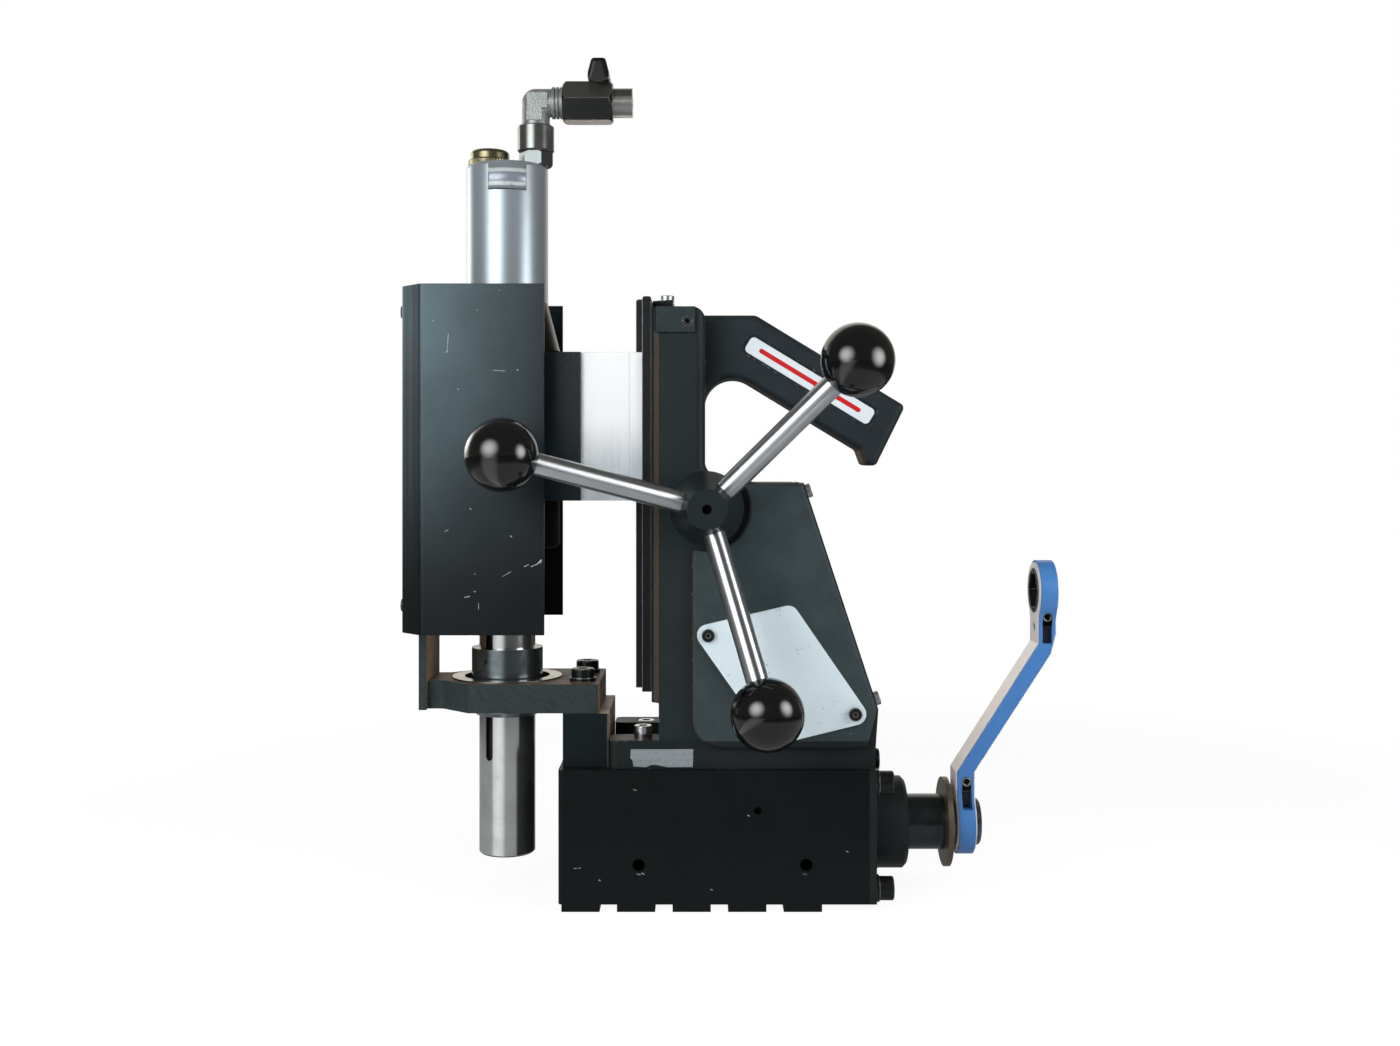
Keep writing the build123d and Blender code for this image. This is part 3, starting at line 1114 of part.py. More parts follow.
def spindle_drive():
    """Gear housing, bearings, spindle with planet carrier, planets and motor rotor."""
    axis = (SPINDLE_X, 0)
    housing = rod("z", HOUSING_R, HOUSING_Z, axis)
    housing = fillet(housing.edges().sort_by(Axis.Z)[0], HOUSING_EDGE_R)
    housing -= rod("z", HOUSING_LIP_R, (HOUSING_Z[0] - THROUGH, LOW_BEARING_Z), axis)
    low_z = (LOW_BEARING_Z, LOW_BEARING_Z + SPINDLE_BEARING_T)
    high_z = (HIGH_BEARING_Z, HIGH_BEARING_Z + SPINDLE_BEARING_T)
    housing -= rod("z", SPINDLE_BEARING_R, low_z, axis)
    housing -= rod("z", SPINDLE_BEARING_R - BEARING_SHOULDER, (low_z[1], high_z[0]), axis)
    housing -= rod("z", SPINDLE_BEARING_R, high_z, axis)
    housing -= rod("z", RING_OUTER_R, (high_z[1], HOUSING_Z[1] + THROUGH), axis)

    inner_r = SPINDLE_JOURNAL_R + BEARING_INNER_T
    outer_r = SPINDLE_BEARING_R - BEARING_OUTER_T
    ball_path = (inner_r + outer_r) / 2
    outers = []
    inners = []
    for z in (low_z, high_z):
        groove = race(ball_path, SPINDLE_BALL_R, (z[0] + z[1]) / 2)
        outers.append(tube(SPINDLE_BEARING_R, outer_r, z) - groove)
        inners.append(tube(inner_r, SPINDLE_JOURNAL_R, z) - groove)
        inners += ball_ring(ball_path, SPINDLE_BALL_R, SPINDLE_BALL_COUNT, (z[0] + z[1]) / 2)

    spindle = rod("z", SPINDLE_R, (NOSE_Z, LOW_BEARING_Z), axis)
    spindle = chamfer(spindle.edges().sort_by(Axis.Z)[0], NOSE_CHAMFER)
    spindle += rod("z", SPINDLE_JOURNAL_R, (LOW_BEARING_Z, CARRIER_Z), axis)
    carrier_top = CARRIER_Z + CARRIER_T
    spindle += rod("z", CARRIER_R, (CARRIER_Z, carrier_top), axis)
    spindle -= rod("z", CUTTER_BORE_R, (NOSE_Z - THROUGH, NOSE_Z + CUTTER_BORE_DEPTH), axis)
    spindle -= rod("z", PILOT_BORE_R, (NOSE_Z, LOW_BEARING_Z - THROUGH), axis)
    slot_x = (SPINDLE_R - KEYWAY_DEPTH, SPINDLE_R + THROUGH)
    low_end = KEYWAY_Z[0] + KEYWAY_WIDTH / 2
    keyway = block(slot_x, both(KEYWAY_WIDTH / 2), (low_end, KEYWAY_Z[1]))
    keyway += rod("x", KEYWAY_WIDTH / 2, slot_x, (0, low_end))
    spindle -= Pos(SPINDLE_X, 0, 0) * Rot(0, 0, KEY_ANGLE) * keyway
    cutter_screws = []
    for z in CUTTER_SCREW_Z:
        place = Pos(SPINDLE_X, 0, z) * Rot(0, 0, KEY_ANGLE + 180)
        spindle -= place * rod("x", M8["shank"], (CUTTER_BORE_R - THROUGH, SPINDLE_R + THROUGH))
        screw = rod("x", M8["shank"], (CUTTER_BORE_R + CUTTER_SCREW_SINK, SPINDLE_R - CUTTER_SCREW_SINK))
        socket = extrude(RegularPolygon(M5["socket"] / 2, 6, major_radius=False), amount=SOCKET_DEPTH)
        screw -= Pos(SPINDLE_R - SOCKET_DEPTH, 0, 0) * Rot(0, 90, 0) * socket
        cutter_screws.append(place * screw)

    gear_top = GEAR_Z + GEAR_FACE
    space_width = math.pi * GEAR_MODULE / 2 + BACKLASH
    ring_pitch_r = GEAR_MODULE * RING_TEETH / 2
    ring_space = gear_face(RING_TEETH, GEAR_MODULE, RING_ROOT_R, ring_pitch_r - RING_ADDENDUM * GEAR_MODULE,
                           space_width)
    ring_z = (high_z[1], gear_top + GEAR_GAP)
    cutter = extrude(ring_space, amount=ring_z[1] - ring_z[0] + 2 * THROUGH, dir=(0, 0, 1))
    half_pitch = 180 / RING_TEETH
    ring = rod("z", RING_OUTER_R, ring_z, axis)
    ring -= Pos(SPINDLE_X, 0, ring_z[0] - THROUGH) * Rot(0, 0, half_pitch) * cutter
    planets = {}
    for n in range(PLANET_COUNT):
        turn = 360 * n / PLANET_COUNT
        place = Pos(SPINDLE_X, 0, 0) * Rot(0, 0, turn) * Pos(PLANET_ORBIT, 0, 0)
        spindle += place * rod("z", PLANET_PIN_R, (carrier_top, gear_top))
        wheel = gear(PLANET_TEETH, GEAR_MODULE, GEAR_FACE)
        wheel -= rod("z", PLANET_PIN_R + RUNNING_FIT, (-THROUGH, GEAR_FACE + THROUGH))
        planets["planet_%d" % (n + 1)] = place * Pos(0, 0, GEAR_Z) * Rot(0, 0, 180 / PLANET_TEETH) * wheel

    rotor_z = (HOUSING_Z[1] + END_PLATE_T + ROTOR_END_GAP, MOTOR_HEAD_Z - ROTOR_END_GAP)
    rotor = Pos(SPINDLE_X, 0, GEAR_Z) * gear(SUN_TEETH, GEAR_MODULE, GEAR_FACE)
    rotor += rod("z", MOTOR_SHAFT_R, (gear_top, rotor_z[0]), axis)
    rotor += rod("z", MOTOR_ROTOR_R, rotor_z, axis)
    rotor += rod("z", MOTOR_JOURNAL_R, (rotor_z[1], MOTOR_HEAD_Z + MOTOR_JOURNAL_LENGTH), axis)
    vane_w, vane_d = VANE_SLOT
    vane_x = (MOTOR_ROTOR_R - vane_d, MOTOR_ROTOR_R + THROUGH)
    vane = block(vane_x, both(vane_w / 2), (rotor_z[0] - THROUGH, rotor_z[1] + THROUGH))
    for turn in (0, 90, 180, 270):
        rotor -= Pos(SPINDLE_X, 0, 0) * Rot(0, 0, turn) * vane
    return {
        "gearbox_housing": housing,
        "ring_gear": ring,
        "spindle_bearing_outers": outers,
        "spindle_bearing_inners": inners,
        "spindle": spindle,
        "cutter_screws": cutter_screws,
        **planets,
        "motor_rotor": rotor,
    }


def air_motor():
    """Motor shell with its silencer, inlet fittings and ball valve."""
    axis = (SPINDLE_X, 0)
    base_z = HOUSING_Z[1]
    shell = [(0, base_z), (HOUSING_R, base_z), (MOTOR_R, MOTOR_CONE_TOP), (MOTOR_R, MOTOR_TOP),
             (0, MOTOR_TOP)]
    body = turned(shell, axis)
    body = fillet(body.edges().sort_by(Axis.Z)[-1], MOTOR_EDGE_R)
    chamber_at = (SPINDLE_X, CHAMBER_SHIFT)
    body -= rod("z", CHAMBER_R, (base_z - THROUGH, MOTOR_HEAD_Z), chamber_at)
    journal_z = (MOTOR_HEAD_Z - THROUGH, MOTOR_HEAD_Z + MOTOR_JOURNAL_LENGTH + ROTOR_END_GAP)
    body -= rod("z", MOTOR_JOURNAL_R + RUNNING_FIT, journal_z, axis)
    stem_z = (MOTOR_TOP - STEM_LENGTH, MOTOR_TOP)
    port_z = (MOTOR_HEAD_Z - THROUGH, MOTOR_TOP + THROUGH)
    body -= rod("z", SILENCER_STEM_R, (stem_z[0], port_z[1]), (SILENCER_X, 0))
    body -= rod("z", NIPPLE_STEM_R, (stem_z[0], port_z[1]), (INLET_X, 0))
    for x in (INLET_X, SILENCER_X):
        body -= rod("z", AIR_BORE_R, port_z, (x, 0))
    plate = rod("z", CHAMBER_R, (base_z, base_z + END_PLATE_T), chamber_at)
    plate -= rod("z", MOTOR_SHAFT_R + RUNNING_FIT, (base_z - THROUGH, base_z + END_PLATE_T + THROUGH), axis)

    at = (SILENCER_X, 0)
    silencer = rod("z", SILENCER_RIM_R, (MOTOR_TOP, MOTOR_TOP + SILENCER_RIM_H), at)
    dome = rod("z", SILENCER_DOME_R, (MOTOR_TOP + SILENCER_RIM_H, SILENCER_TOP), at)
    silencer += fillet(dome.edges().sort_by(Axis.Z)[-1], SILENCER_DOME_EDGE_R)
    silencer += rod("z", SILENCER_STEM_R, stem_z, at)
    silencer -= rod("z", AIR_BORE_R, (stem_z[0] - THROUGH, SILENCER_TOP - SILENCER_RIM_H), at)

    inlet = (INLET_X, 0)
    hexagon = RegularPolygon(NIPPLE_HEX / 2, 6, major_radius=False, rotation=NIPPLE_TURN)
    nipple = Pos(INLET_X, 0, MOTOR_TOP) * extrude(hexagon, amount=NIPPLE_HEX_H)
    bevel = rod("z", NIPPLE_HEX / math.sqrt(3), (MOTOR_TOP, NIPPLE_TOP), inlet)
    nipple &= chamfer(bevel.edges().filter_by(GeomType.CIRCLE), NIPPLE_CHAMFER)
    nipple += rod("z", NIPPLE_STEM_R, stem_z, inlet)
    nipple += rod("z", THREAD_R, (NIPPLE_TOP, NIPPLE_TOP + THREAD_BITE), inlet)
    nipple -= rod("z", AIR_BORE_R, (stem_z[0] - THROUGH, NIPPLE_TOP + THREAD_BITE + THROUGH), inlet)
    socket = rod("z", SOCKET_R, (NIPPLE_TOP, SOCKET_TOP), inlet)
    socket = chamfer(socket.edges().filter_by(GeomType.CIRCLE), SOCKET_CHAMFER)
    socket -= rod("z", THREAD_R, (NIPPLE_TOP - THROUGH, SOCKET_TOP + THROUGH), inlet)

    elbow = rod("z", ELBOW_R, (SOCKET_TOP, FLOW_Z), inlet)
    elbow += rod("x", ELBOW_R, (INLET_X, VALVE_X[0]), (0, FLOW_Z))
    elbow += Pos(INLET_X, 0, FLOW_Z) * Sphere(ELBOW_R)
    rim_x = VALVE_X[0] - ELBOW_RIM_T
    elbow += rod("x", ELBOW_RIM_R, (rim_x, VALVE_X[0]), (0, FLOW_Z))
    for n in range(1, ELBOW_RINGS):
        middle = rim_x + n * ELBOW_RIM_T / ELBOW_RINGS
        groove = (middle - ELBOW_GROOVE / 2, middle + ELBOW_GROOVE / 2)
        elbow -= rod("x", ELBOW_RIM_R + THROUGH, groove, (0, FLOW_Z)) - rod("x", ELBOW_R, groove, (0, FLOW_Z))
    pad_y = both(ELBOW_R + ELBOW_PAD_PROUD)
    pad_x = (INLET_X - ELBOW_PAD_HALF, INLET_X + ELBOW_PAD_HALF)
    pad_z = (FLOW_Z - ELBOW_PAD_HALF, FLOW_Z + ELBOW_PAD_HALF)
    elbow += block(pad_x, pad_y, (SOCKET_TOP + ELBOW_PAD_INSET, pad_z[1]))
    elbow += block((pad_x[0], rim_x - ELBOW_PAD_INSET), pad_y, pad_z)
    elbow += rod("z", THREAD_R, (SOCKET_TOP - THREAD_BITE, SOCKET_TOP), inlet)
    elbow += rod("x", THREAD_R, (VALVE_X[0], VALVE_X[0] + THREAD_BITE), (0, FLOW_Z))
    elbow -= rod("z", AIR_BORE_R, (SOCKET_TOP - THREAD_BITE - THROUGH, FLOW_Z), inlet)
    elbow -= rod("x", AIR_BORE_R, (INLET_X, VALVE_X[0] + THREAD_BITE + THROUGH), (0, FLOW_Z))
    elbow -= Pos(INLET_X, 0, FLOW_Z) * Sphere(AIR_BORE_R)

    flow = (0, FLOW_Z)
    valve = hexagon_x(VALVE_HEX, VALVE_X, FLOW_Z)
    bevel = rod("x", VALVE_HEX / math.sqrt(3), VALVE_X, flow)
    valve &= chamfer(bevel.edges().filter_by(GeomType.CIRCLE), VALVE_CHAMFER)
    valve += rod("x", VALVE_THREAD_R, (VALVE_X[1], VALVE_END_X), flow)
    valve -= rod("x", THREAD_R, (VALVE_X[0] - THROUGH, VALVE_X[0] + THREAD_BITE), flow)
    valve -= rod("x", AIR_BORE_R, (VALVE_X[0], VALVE_END_X + THROUGH), flow)
    ball_at = Pos(VALVE_STEM_X, 0, FLOW_Z)
    valve -= ball_at * Sphere(VALVE_BALL_R + RUNNING_FIT)
    stem = (VALVE_STEM_X, 0)
    valve_top = FLOW_Z + VALVE_HEX / 2
    wing_base = valve_top + OPEN_GAP
    valve -= rod("z", VALVE_STEM_R + RUNNING_FIT, (FLOW_Z, valve_top + THROUGH), stem)
    wing_top = wing_base + HANDLE_WING_H
    knee = wing_base + HANDLE_WING_FOOT
    narrow, wide = HANDLE_WING
    left = VALVE_STEM_X - wide / 2
    outline = [(left, wing_base), (left + wide, wing_base), (left + wide, knee),
               (left + (wide + narrow) / 2, wing_top), (left + (wide - narrow) / 2, wing_top), (left, knee)]
    handle = profile_y(outline, HANDLE_WING_Y, {3: HANDLE_CORNER_R, 4: HANDLE_CORNER_R})
    end_edges = edges_near(handle, lambda p: p.Z > wing_top - 0.1 and abs(p.X - VALVE_STEM_X) < 0.1)
    handle = fillet(end_edges, HANDLE_EDGE)
    tab_depth, tab_t = HANDLE_TAB
    tab_z = wing_base - tab_depth
    tab = [(left, wing_base), (left + wide / 4, tab_z), (left + wide * 3 / 4, tab_z),
           (left + wide, wing_base)]
    tab_y = (HANDLE_WING_Y[0], HANDLE_WING_Y[0] + tab_t)
    handle += profile_y(tab, tab_y, {1: HANDLE_TAB_R, 2: HANDLE_TAB_R})
    stem_top = wing_base + HANDLE_STEM_BITE
    handle -= rod("z", VALVE_STEM_R, (wing_base - THROUGH, stem_top), stem)
    ball_bore = rod("y", AIR_BORE_R, both(VALVE_BALL_R + THROUGH), (VALVE_STEM_X, FLOW_Z))
    ball = ball_at * Sphere(VALVE_BALL_R) - ball_bore
    ball += rod("z", VALVE_STEM_R, (FLOW_Z + VALVE_BALL_R - BALL_NECK, stem_top), stem)
    return {
        "motor_body": body,
        "motor_end_plate": plate,
        "silencer": silencer,
        "inlet_nipple": nipple,
        "inlet_socket": socket,
        "inlet_elbow": elbow,
        "valve_body": valve,
        "valve_handle": handle,
        "valve_ball": ball,
    }


def capstan():
    """Hub with three tilted rods and ball knobs on the pinion shaft."""
    rim_front = HUB_BACK_Y - HUB_RIM_T
    shaft_end = rim_front
    profile = [(0, -HUB_BACK_Y), (HUB_RIM_R, -HUB_BACK_Y), (HUB_RIM_R, -rim_front),
               (HUB_NOSE_R, -HUB_FRONT_Y), (0, -HUB_FRONT_Y)]
    to_axis = Pos(PINION_X, 0, PINION_Z) * Rot(90, 0, 0)
    hub = to_axis * turned(profile)
    at = (PINION_X, PINION_Z)
    hub -= rod("y", PINION_SHAFT_R, (shaft_end, HUB_BACK_Y + THROUGH), at)
    hub -= rod("y", HUB_HOLE_R, (HUB_FRONT_Y - THROUGH, HUB_FRONT_Y + HUB_HOLE_DEPTH), at)
    tilt = math.radians(ROD_TILT)
    entry_r = (HUB_RIM_R + HUB_NOSE_R) / 2
    entry_y = (rim_front + HUB_FRONT_Y) / 2
    reach = (KNOB_REACH - entry_r) / math.cos(tilt)
    flat = math.sqrt(KNOB_R ** 2 - KNOB_FLAT_R ** 2)
    rods = []
    knobs = []
    for angle in ROD_ANGLES:
        arm = Rot(0, -angle, 0) * Pos(entry_r, 0, 0) * Rot(0, 0, -ROD_TILT)
        place = Pos(PINION_X, entry_y, PINION_Z) * arm
        bar = place * rod("x", ROD_R, (-ROD_BITE, reach - flat + KNOB_BITE))
        hub -= bar
        rods.append(bar)
        knob = Pos(reach, 0, 0) * Sphere(KNOB_R)
        knob -= block((reach - KNOB_R - THROUGH, reach - flat), both(KNOB_R), both(KNOB_R))
        knobs.append(place * knob - bar)
    far_end = COLUMN_HALF_Y + OPEN_GAP
    shaft = rod("y", PINION_SHAFT_R, (shaft_end, far_end), at)
    shaft += rod("y", PINION_COLLAR_R, (far_end, far_end + PINION_COLLAR_T), at)
    wheel = gear(PINION_TEETH, RACK_MODULE, 2 * RACK_HALF_Y)
    shaft += Pos(PINION_X, RACK_HALF_Y, PINION_Z) * Rot(90, 0, 0) * wheel
    return {
        "capstan_hub": hub,
        "pinion_shaft": shaft,
        "capstan_rods": rods,
        "capstan_knobs": knobs,
    }


parts = {}
for group in (magnet_base, magnet_rotor, ratchet_spanner, guard_side, frame_side, carriage, spindle_drive,
              air_motor, capstan):
    for name, shape in group().items():
        pieces = shape if isinstance(shape, list) else [shape]
        parts.setdefault(name, []).extend(pieces)

for name, pieces in parts.items():
    solids = [solid for piece in pieces for solid in piece.solids()]
    export_step(Compound(children=solids) if len(solids) > 1 else solids[0], "parts/%s.step" % name)
    print(name, len(solids), round(sum(solid.volume for solid in solids), 1))
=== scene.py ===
import math

import bmesh
import bpy
from mathutils import Matrix, Vector


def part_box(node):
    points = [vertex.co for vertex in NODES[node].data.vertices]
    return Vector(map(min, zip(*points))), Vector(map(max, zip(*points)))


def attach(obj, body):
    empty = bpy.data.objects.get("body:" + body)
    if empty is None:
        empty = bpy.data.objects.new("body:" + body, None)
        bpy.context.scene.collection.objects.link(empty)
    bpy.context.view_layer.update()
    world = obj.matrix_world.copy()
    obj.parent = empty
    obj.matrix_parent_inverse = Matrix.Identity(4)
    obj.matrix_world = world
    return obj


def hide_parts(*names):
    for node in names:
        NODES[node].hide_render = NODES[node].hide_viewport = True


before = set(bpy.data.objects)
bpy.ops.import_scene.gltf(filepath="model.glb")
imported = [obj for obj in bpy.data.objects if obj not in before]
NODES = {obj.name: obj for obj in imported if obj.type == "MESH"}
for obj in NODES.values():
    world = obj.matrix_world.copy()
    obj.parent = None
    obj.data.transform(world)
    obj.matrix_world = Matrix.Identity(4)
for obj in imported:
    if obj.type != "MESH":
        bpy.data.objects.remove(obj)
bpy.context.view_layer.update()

# Air-driven magnetic drill: materials, labels, knurled silencer, floor, light and camera.
# Metres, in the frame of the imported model: -X is the drilling end, the camera stands on the -Y side.

MM = 0.001

# Camera, from the photograph's 1400 x 1046 frame
IMAGE_WIDTH = 1400
FOCAL_PIXELS = 1488
EYE = (0.0029, -0.851, 0.2414)
CENTRE_PIXEL = (697, 468)
IMAGE_MIDDLE = (700, 523)
SENSOR = 36.0
CLIP_START = 0.02

# Softboxes: azimuth from the camera side towards +X, elevation, distance, size, radiance at the centre
SOFTBOXES = {
    "softbox_left": {"azimuth": -34, "elevation": 16, "distance": 0.8, "size": (0.8, 0.75), "radiance": 7.2},
    "softbox_right": {"azimuth": 57, "elevation": 9, "distance": 0.6, "size": (0.48, 0.5), "radiance": 7.6},
    "softbox_top": {"azimuth": -15, "elevation": 72, "distance": 1.2, "size": (0.6, 0.5), "radiance": 5.8,
                    "mirrored": False},
    "softbox_rim": {"azimuth": -124, "elevation": 14, "distance": 0.9, "size": (0.6, 0.5), "radiance": 3.6},
}
BOX_MIDDLE = (0.5, 0.5, 0)
BOX_FADE = (0.55, 0.05)
LIGHT_TARGET = (0.0, 0.0, 0.24)

# World: plain light on the object, and the studio and backdrop that its polished faces mirror
AMBIENT = (0.13, 0.13, 0.13)
STUDIO_DARK = (0.105, 0.1, 0.09)
BACKDROP = (1.0, 0.95, 0.87)
WHITE = (1.0, 1.0, 1.0)
BACKDROP_AZIMUTH = -165
BACKDROP_EDGE = (0.52, 0.74)

# Floor: near and far as the camera sees it; dark, table and lit as polished faces mirror it; lit is a glow
# for the left softbox
FLOOR_HALF = 4.0
FLOOR_TONE = (0.86, 0.86, 0.86)
FLOOR_SHARE = 0.85
FLOOR_GLOW = {"near": 1.09, "far": 1.19, "dark": 0.03, "table": 0.3, "lit": 1.0}
FLOOR_NEAR = (0.45, 1.1)
TABLE_EDGE = (0.7, 0.5)
LIT_AZIMUTH = -29
LIT_SPREAD = (30, 2)

# Materials: the usual range of noise, the grain of parts turned about the vertical axis, edge settings
NOISE_RANGE = (0.3, 0.7)
TURNED = (1, 1, 0.05)
COAT_ROUGHNESS = 0.05
EDGE_SAMPLES = 6
BEVEL_SAMPLES = 4
METAL_BEVEL = 0.0003

# Where a finish changes on a part, in metres, from the first value to the second
CASTING_WALL_Y = (0.030, 0.0385)
CASTING_PANEL_Y = (0.0398, 0.0425)
CASTING_FOOT_Z = (0.0935, 0.0925)
WAYS_X = (-0.0209, -0.0206)
WAYS_TOP_Z = (0.3165, 0.3155)
# Painted sheen on the guard: it pales upwards and towards the front, where the left softbox's reflection
# falls
GUARD_SHEEN_Z = (0.155, 0.345)
GUARD_SHEEN_X = (-0.0788, -0.143)
GUARD_BEVEL_X = (-0.1445, -0.1455)
GUARD_OUTSIDE_Y = (-0.055, -0.056)
SPACER_GREY_Z = (0.272, 0.236)
SLOT_FLOOR_Y = (-0.0092, -0.0084)
POLE_PALE_Z = (0.05, 0.0)
POLE_SIDE_Y = (-0.0405, -0.0415)
POLE_SOLE_Z = (0.002, 0.001)

# Where the two shades of a split finish meet, in metres, and the half width of the change
SELECTOR_SPLIT_Y = -0.0106
BUSH_SPLIT_X = -0.0725
MOTOR_SPLIT_Z = 0.3352
VALVE_SPLIT_X = -0.045
SPLIT_SOFT = 0.0002

# Scratches and chips, each (x0, z0, x1, z1, width) in mm on the near side
GUARD_SCRATCHES = ((-129.9, 313.1, -130.5, 303.5, 0.45), (-130.4, 304.2, -131.0, 303.2, 0.8),
                   (-106.2, 293.6, -99.3, 293.2, 0.4), (-93.3, 293.9, -92.5, 293.6, 0.6),
                   (-100.8, 183.5, -96.4, 186.1, 0.35), (-89.4, 188.7, -87.1, 189.8, 0.5),
                   (-85.7, 188.7, -80.1, 191.0, 0.5), (-81.9, 190.6, -80.2, 192.2, 0.9),
                   (-121.1, 172.3, -118.6, 172.9, 0.6), (-116.0, 175.3, -115.4, 175.6, 0.6),
                   (-116.0, 184.6, -115.6, 184.8, 0.45), (-113.8, 169.3, -113.7, 166.0, 0.3),
                   (-131.6, 207.6, -129.9, 208.3, 0.35), (-118.4, 219.8, -117.6, 219.2, 0.6),
                   (-96.7, 205.2, -96.1, 204.6, 0.7), (-102.9, 336.5, -102.5, 336.1, 0.6),
                   (-114.7, 325.8, -114.3, 325.4, 0.5), (-125.0, 283.8, -124.4, 283.4, 0.6))
BASE_CHIPS = ((-29.6, 20.6, -28.2, 20.2, 0.9), (-26.9, 21.0, -26.0, 20.6, 0.9),
              (61.0, 20.7, 62.4, 20.3, 0.9), (-31.6, 66.4, -30.2, 66.2, 0.8),
              (-64.0, 23.6, -60.6, 23.9, 0.5), (-50.4, 17.4, -49.6, 17.0, 0.7),
              (30.5, 52.6, 31.3, 52.2, 0.6), (84.2, 33.0, 85.2, 32.4, 0.6), (10.4, 12.2, 11.4, 12.0, 0.6))

# Axis and radius of the spindle, the depth over which its dark inside begins, and the motor's radius, in mm
SPINDLE_X = -105.5
SPINDLE_R = 15.875
SPINDLE_SKIN = (0.4, 0.1)
MOTOR_R = 23.2

# Sizes of the pieces added here, in mm and degrees
BADGE = {"centre": (66.1, 290.4), "angle": 31.3, "size": (81.0, 9.6), "thick": 0.5, "corner": 2.6,
         "bevel": 0.2}
BADGE_SEAT_Y = 17.2
STRIPE = {"size": (66.0, 2.6), "rise": 0.12, "corner": 1.25, "bevel": 0.04, "sunk": 0.02}
CORNER_STEPS = 6
BEVEL_SEGMENTS = 2
FOOT_LABEL = [(-33.2, 87.9), (-33.5, 83.3), (-32.2, 81.6), (-31.8, 78.5), (-24.9, 78.1), (-22.1, 79.3),
              (-19.6, 79.4), (-13.0, 78.1), (0.6, 78.2), (0.9, 88.0)]
FOOT_LABEL_Y = -39.0
FOOT_LABEL_T = 0.3
FOOT_LABEL_BEVEL = 0.08
MOTOR_LABEL = {"angles": (-20.0, 34.0), "z": (396.6, 411.4), "gap": 0.02, "thick": 0.14, "columns": 36}
SILENCER = {"rim_width": 1.25, "rim_height": 3.4, "corner": 2.1, "corner_start": 15, "corner_steps": 4,
            "corner_fall": 1.15, "flat_share": 0.5, "flat_fall": 0.1, "neck": (0.35, 0.4),
            "rim_top": (0.3, 0.4), "rim_foot": (0.4, 0.5), "gap": 0.05}
KNURL = {"count": 44, "depth": 0.45, "reach": 0.5, "points": 4}

# Bands of the motor label: lowest and highest z in metres, and colour; then how far each edge fades
MOTOR_BANDS = ((0.3964, 0.3971, (70, 78, 84)), (0.3989, 0.4009, (232, 238, 244)),
               (0.4020, 0.4062, (150, 158, 170)), (0.4066, 0.4085, (232, 238, 244)))
BAND_EDGE = (-0.0002, 0.0001)


def srgb(red, green, blue):
    """Linear colour from 0-255 screen values."""
    def one(value):
        share = value / 255
        return share / 12.92 if share <= 0.04045 else ((share + 0.055) / 1.055) ** 2.4
    return (one(red), one(green), one(blue), 1.0)


class Nodes:
    """Node tree of a material, lamp or world, emptied and then built node by node."""

    def __init__(self, owner):
        owner.use_nodes = True
        self.tree = owner.node_tree
        self.tree.nodes.clear()

    def node(self, kind, inputs=(), **settings):
        """New node with its settings made and its inputs fed."""
        made = self.tree.nodes.new(kind)
        for key, value in settings.items():
            setattr(made, key, value)
        for key, value in dict(inputs).items():
            self.feed(made.inputs[key], value)
        return made

    def feed(self, socket, value):
        """Link an output, or set a plain value."""
        if isinstance(value, bpy.types.NodeSocket):
            self.tree.links.new(value, socket)
        else:
            socket.default_value = value

    def step(self, value, low, high):
        """Smooth step from 0 at low to 1 at high."""
        made = self.node("ShaderNodeMapRange", {"Value": value, "From Min": low, "From Max": high},
                         interpolation_type="SMOOTHSTEP")
        return made.outputs["Result"]

    def ramp(self, value, low, high, to_low, to_high):
        """Straight line from to_low at low to to_high at high, level beyond."""
        made = self.node("ShaderNodeMapRange", {"Value": value, "From Min": low, "From Max": high,
                                                "To Min": to_low, "To Max": to_high})
        return made.outputs["Result"]

    def math(self, operation, first, second=0.0):
        return self.node("ShaderNodeMath", {0: first, 1: second}, operation=operation).outputs[0]

    def times(self, first, *others):
        """Product of shares."""
        for other in others:
            first = self.math("MULTIPLY", first, other)
        return first

    def vector(self, operation, first, second=(0, 0, 0)):
        made = self.node("ShaderNodeVectorMath", {0: first, 1: second}, operation=operation)
        return made.outputs["Value" if operation in ("DOT_PRODUCT", "DISTANCE") else "Vector"]

    def cover(self, share, first, second):
        """Shader between first and second."""
        return self.node("ShaderNodeMixShader", {0: share, 1: first, 2: second}).outputs[0]

    def rays(self):
        """One for rays from the camera, and one for those that polished or clear faces send on."""
        path = self.node("ShaderNodeLightPath").outputs
        return path["Is Camera Ray"], self.math("MAXIMUM", path["Is Glossy Ray"], path["Is Transmission Ray"])


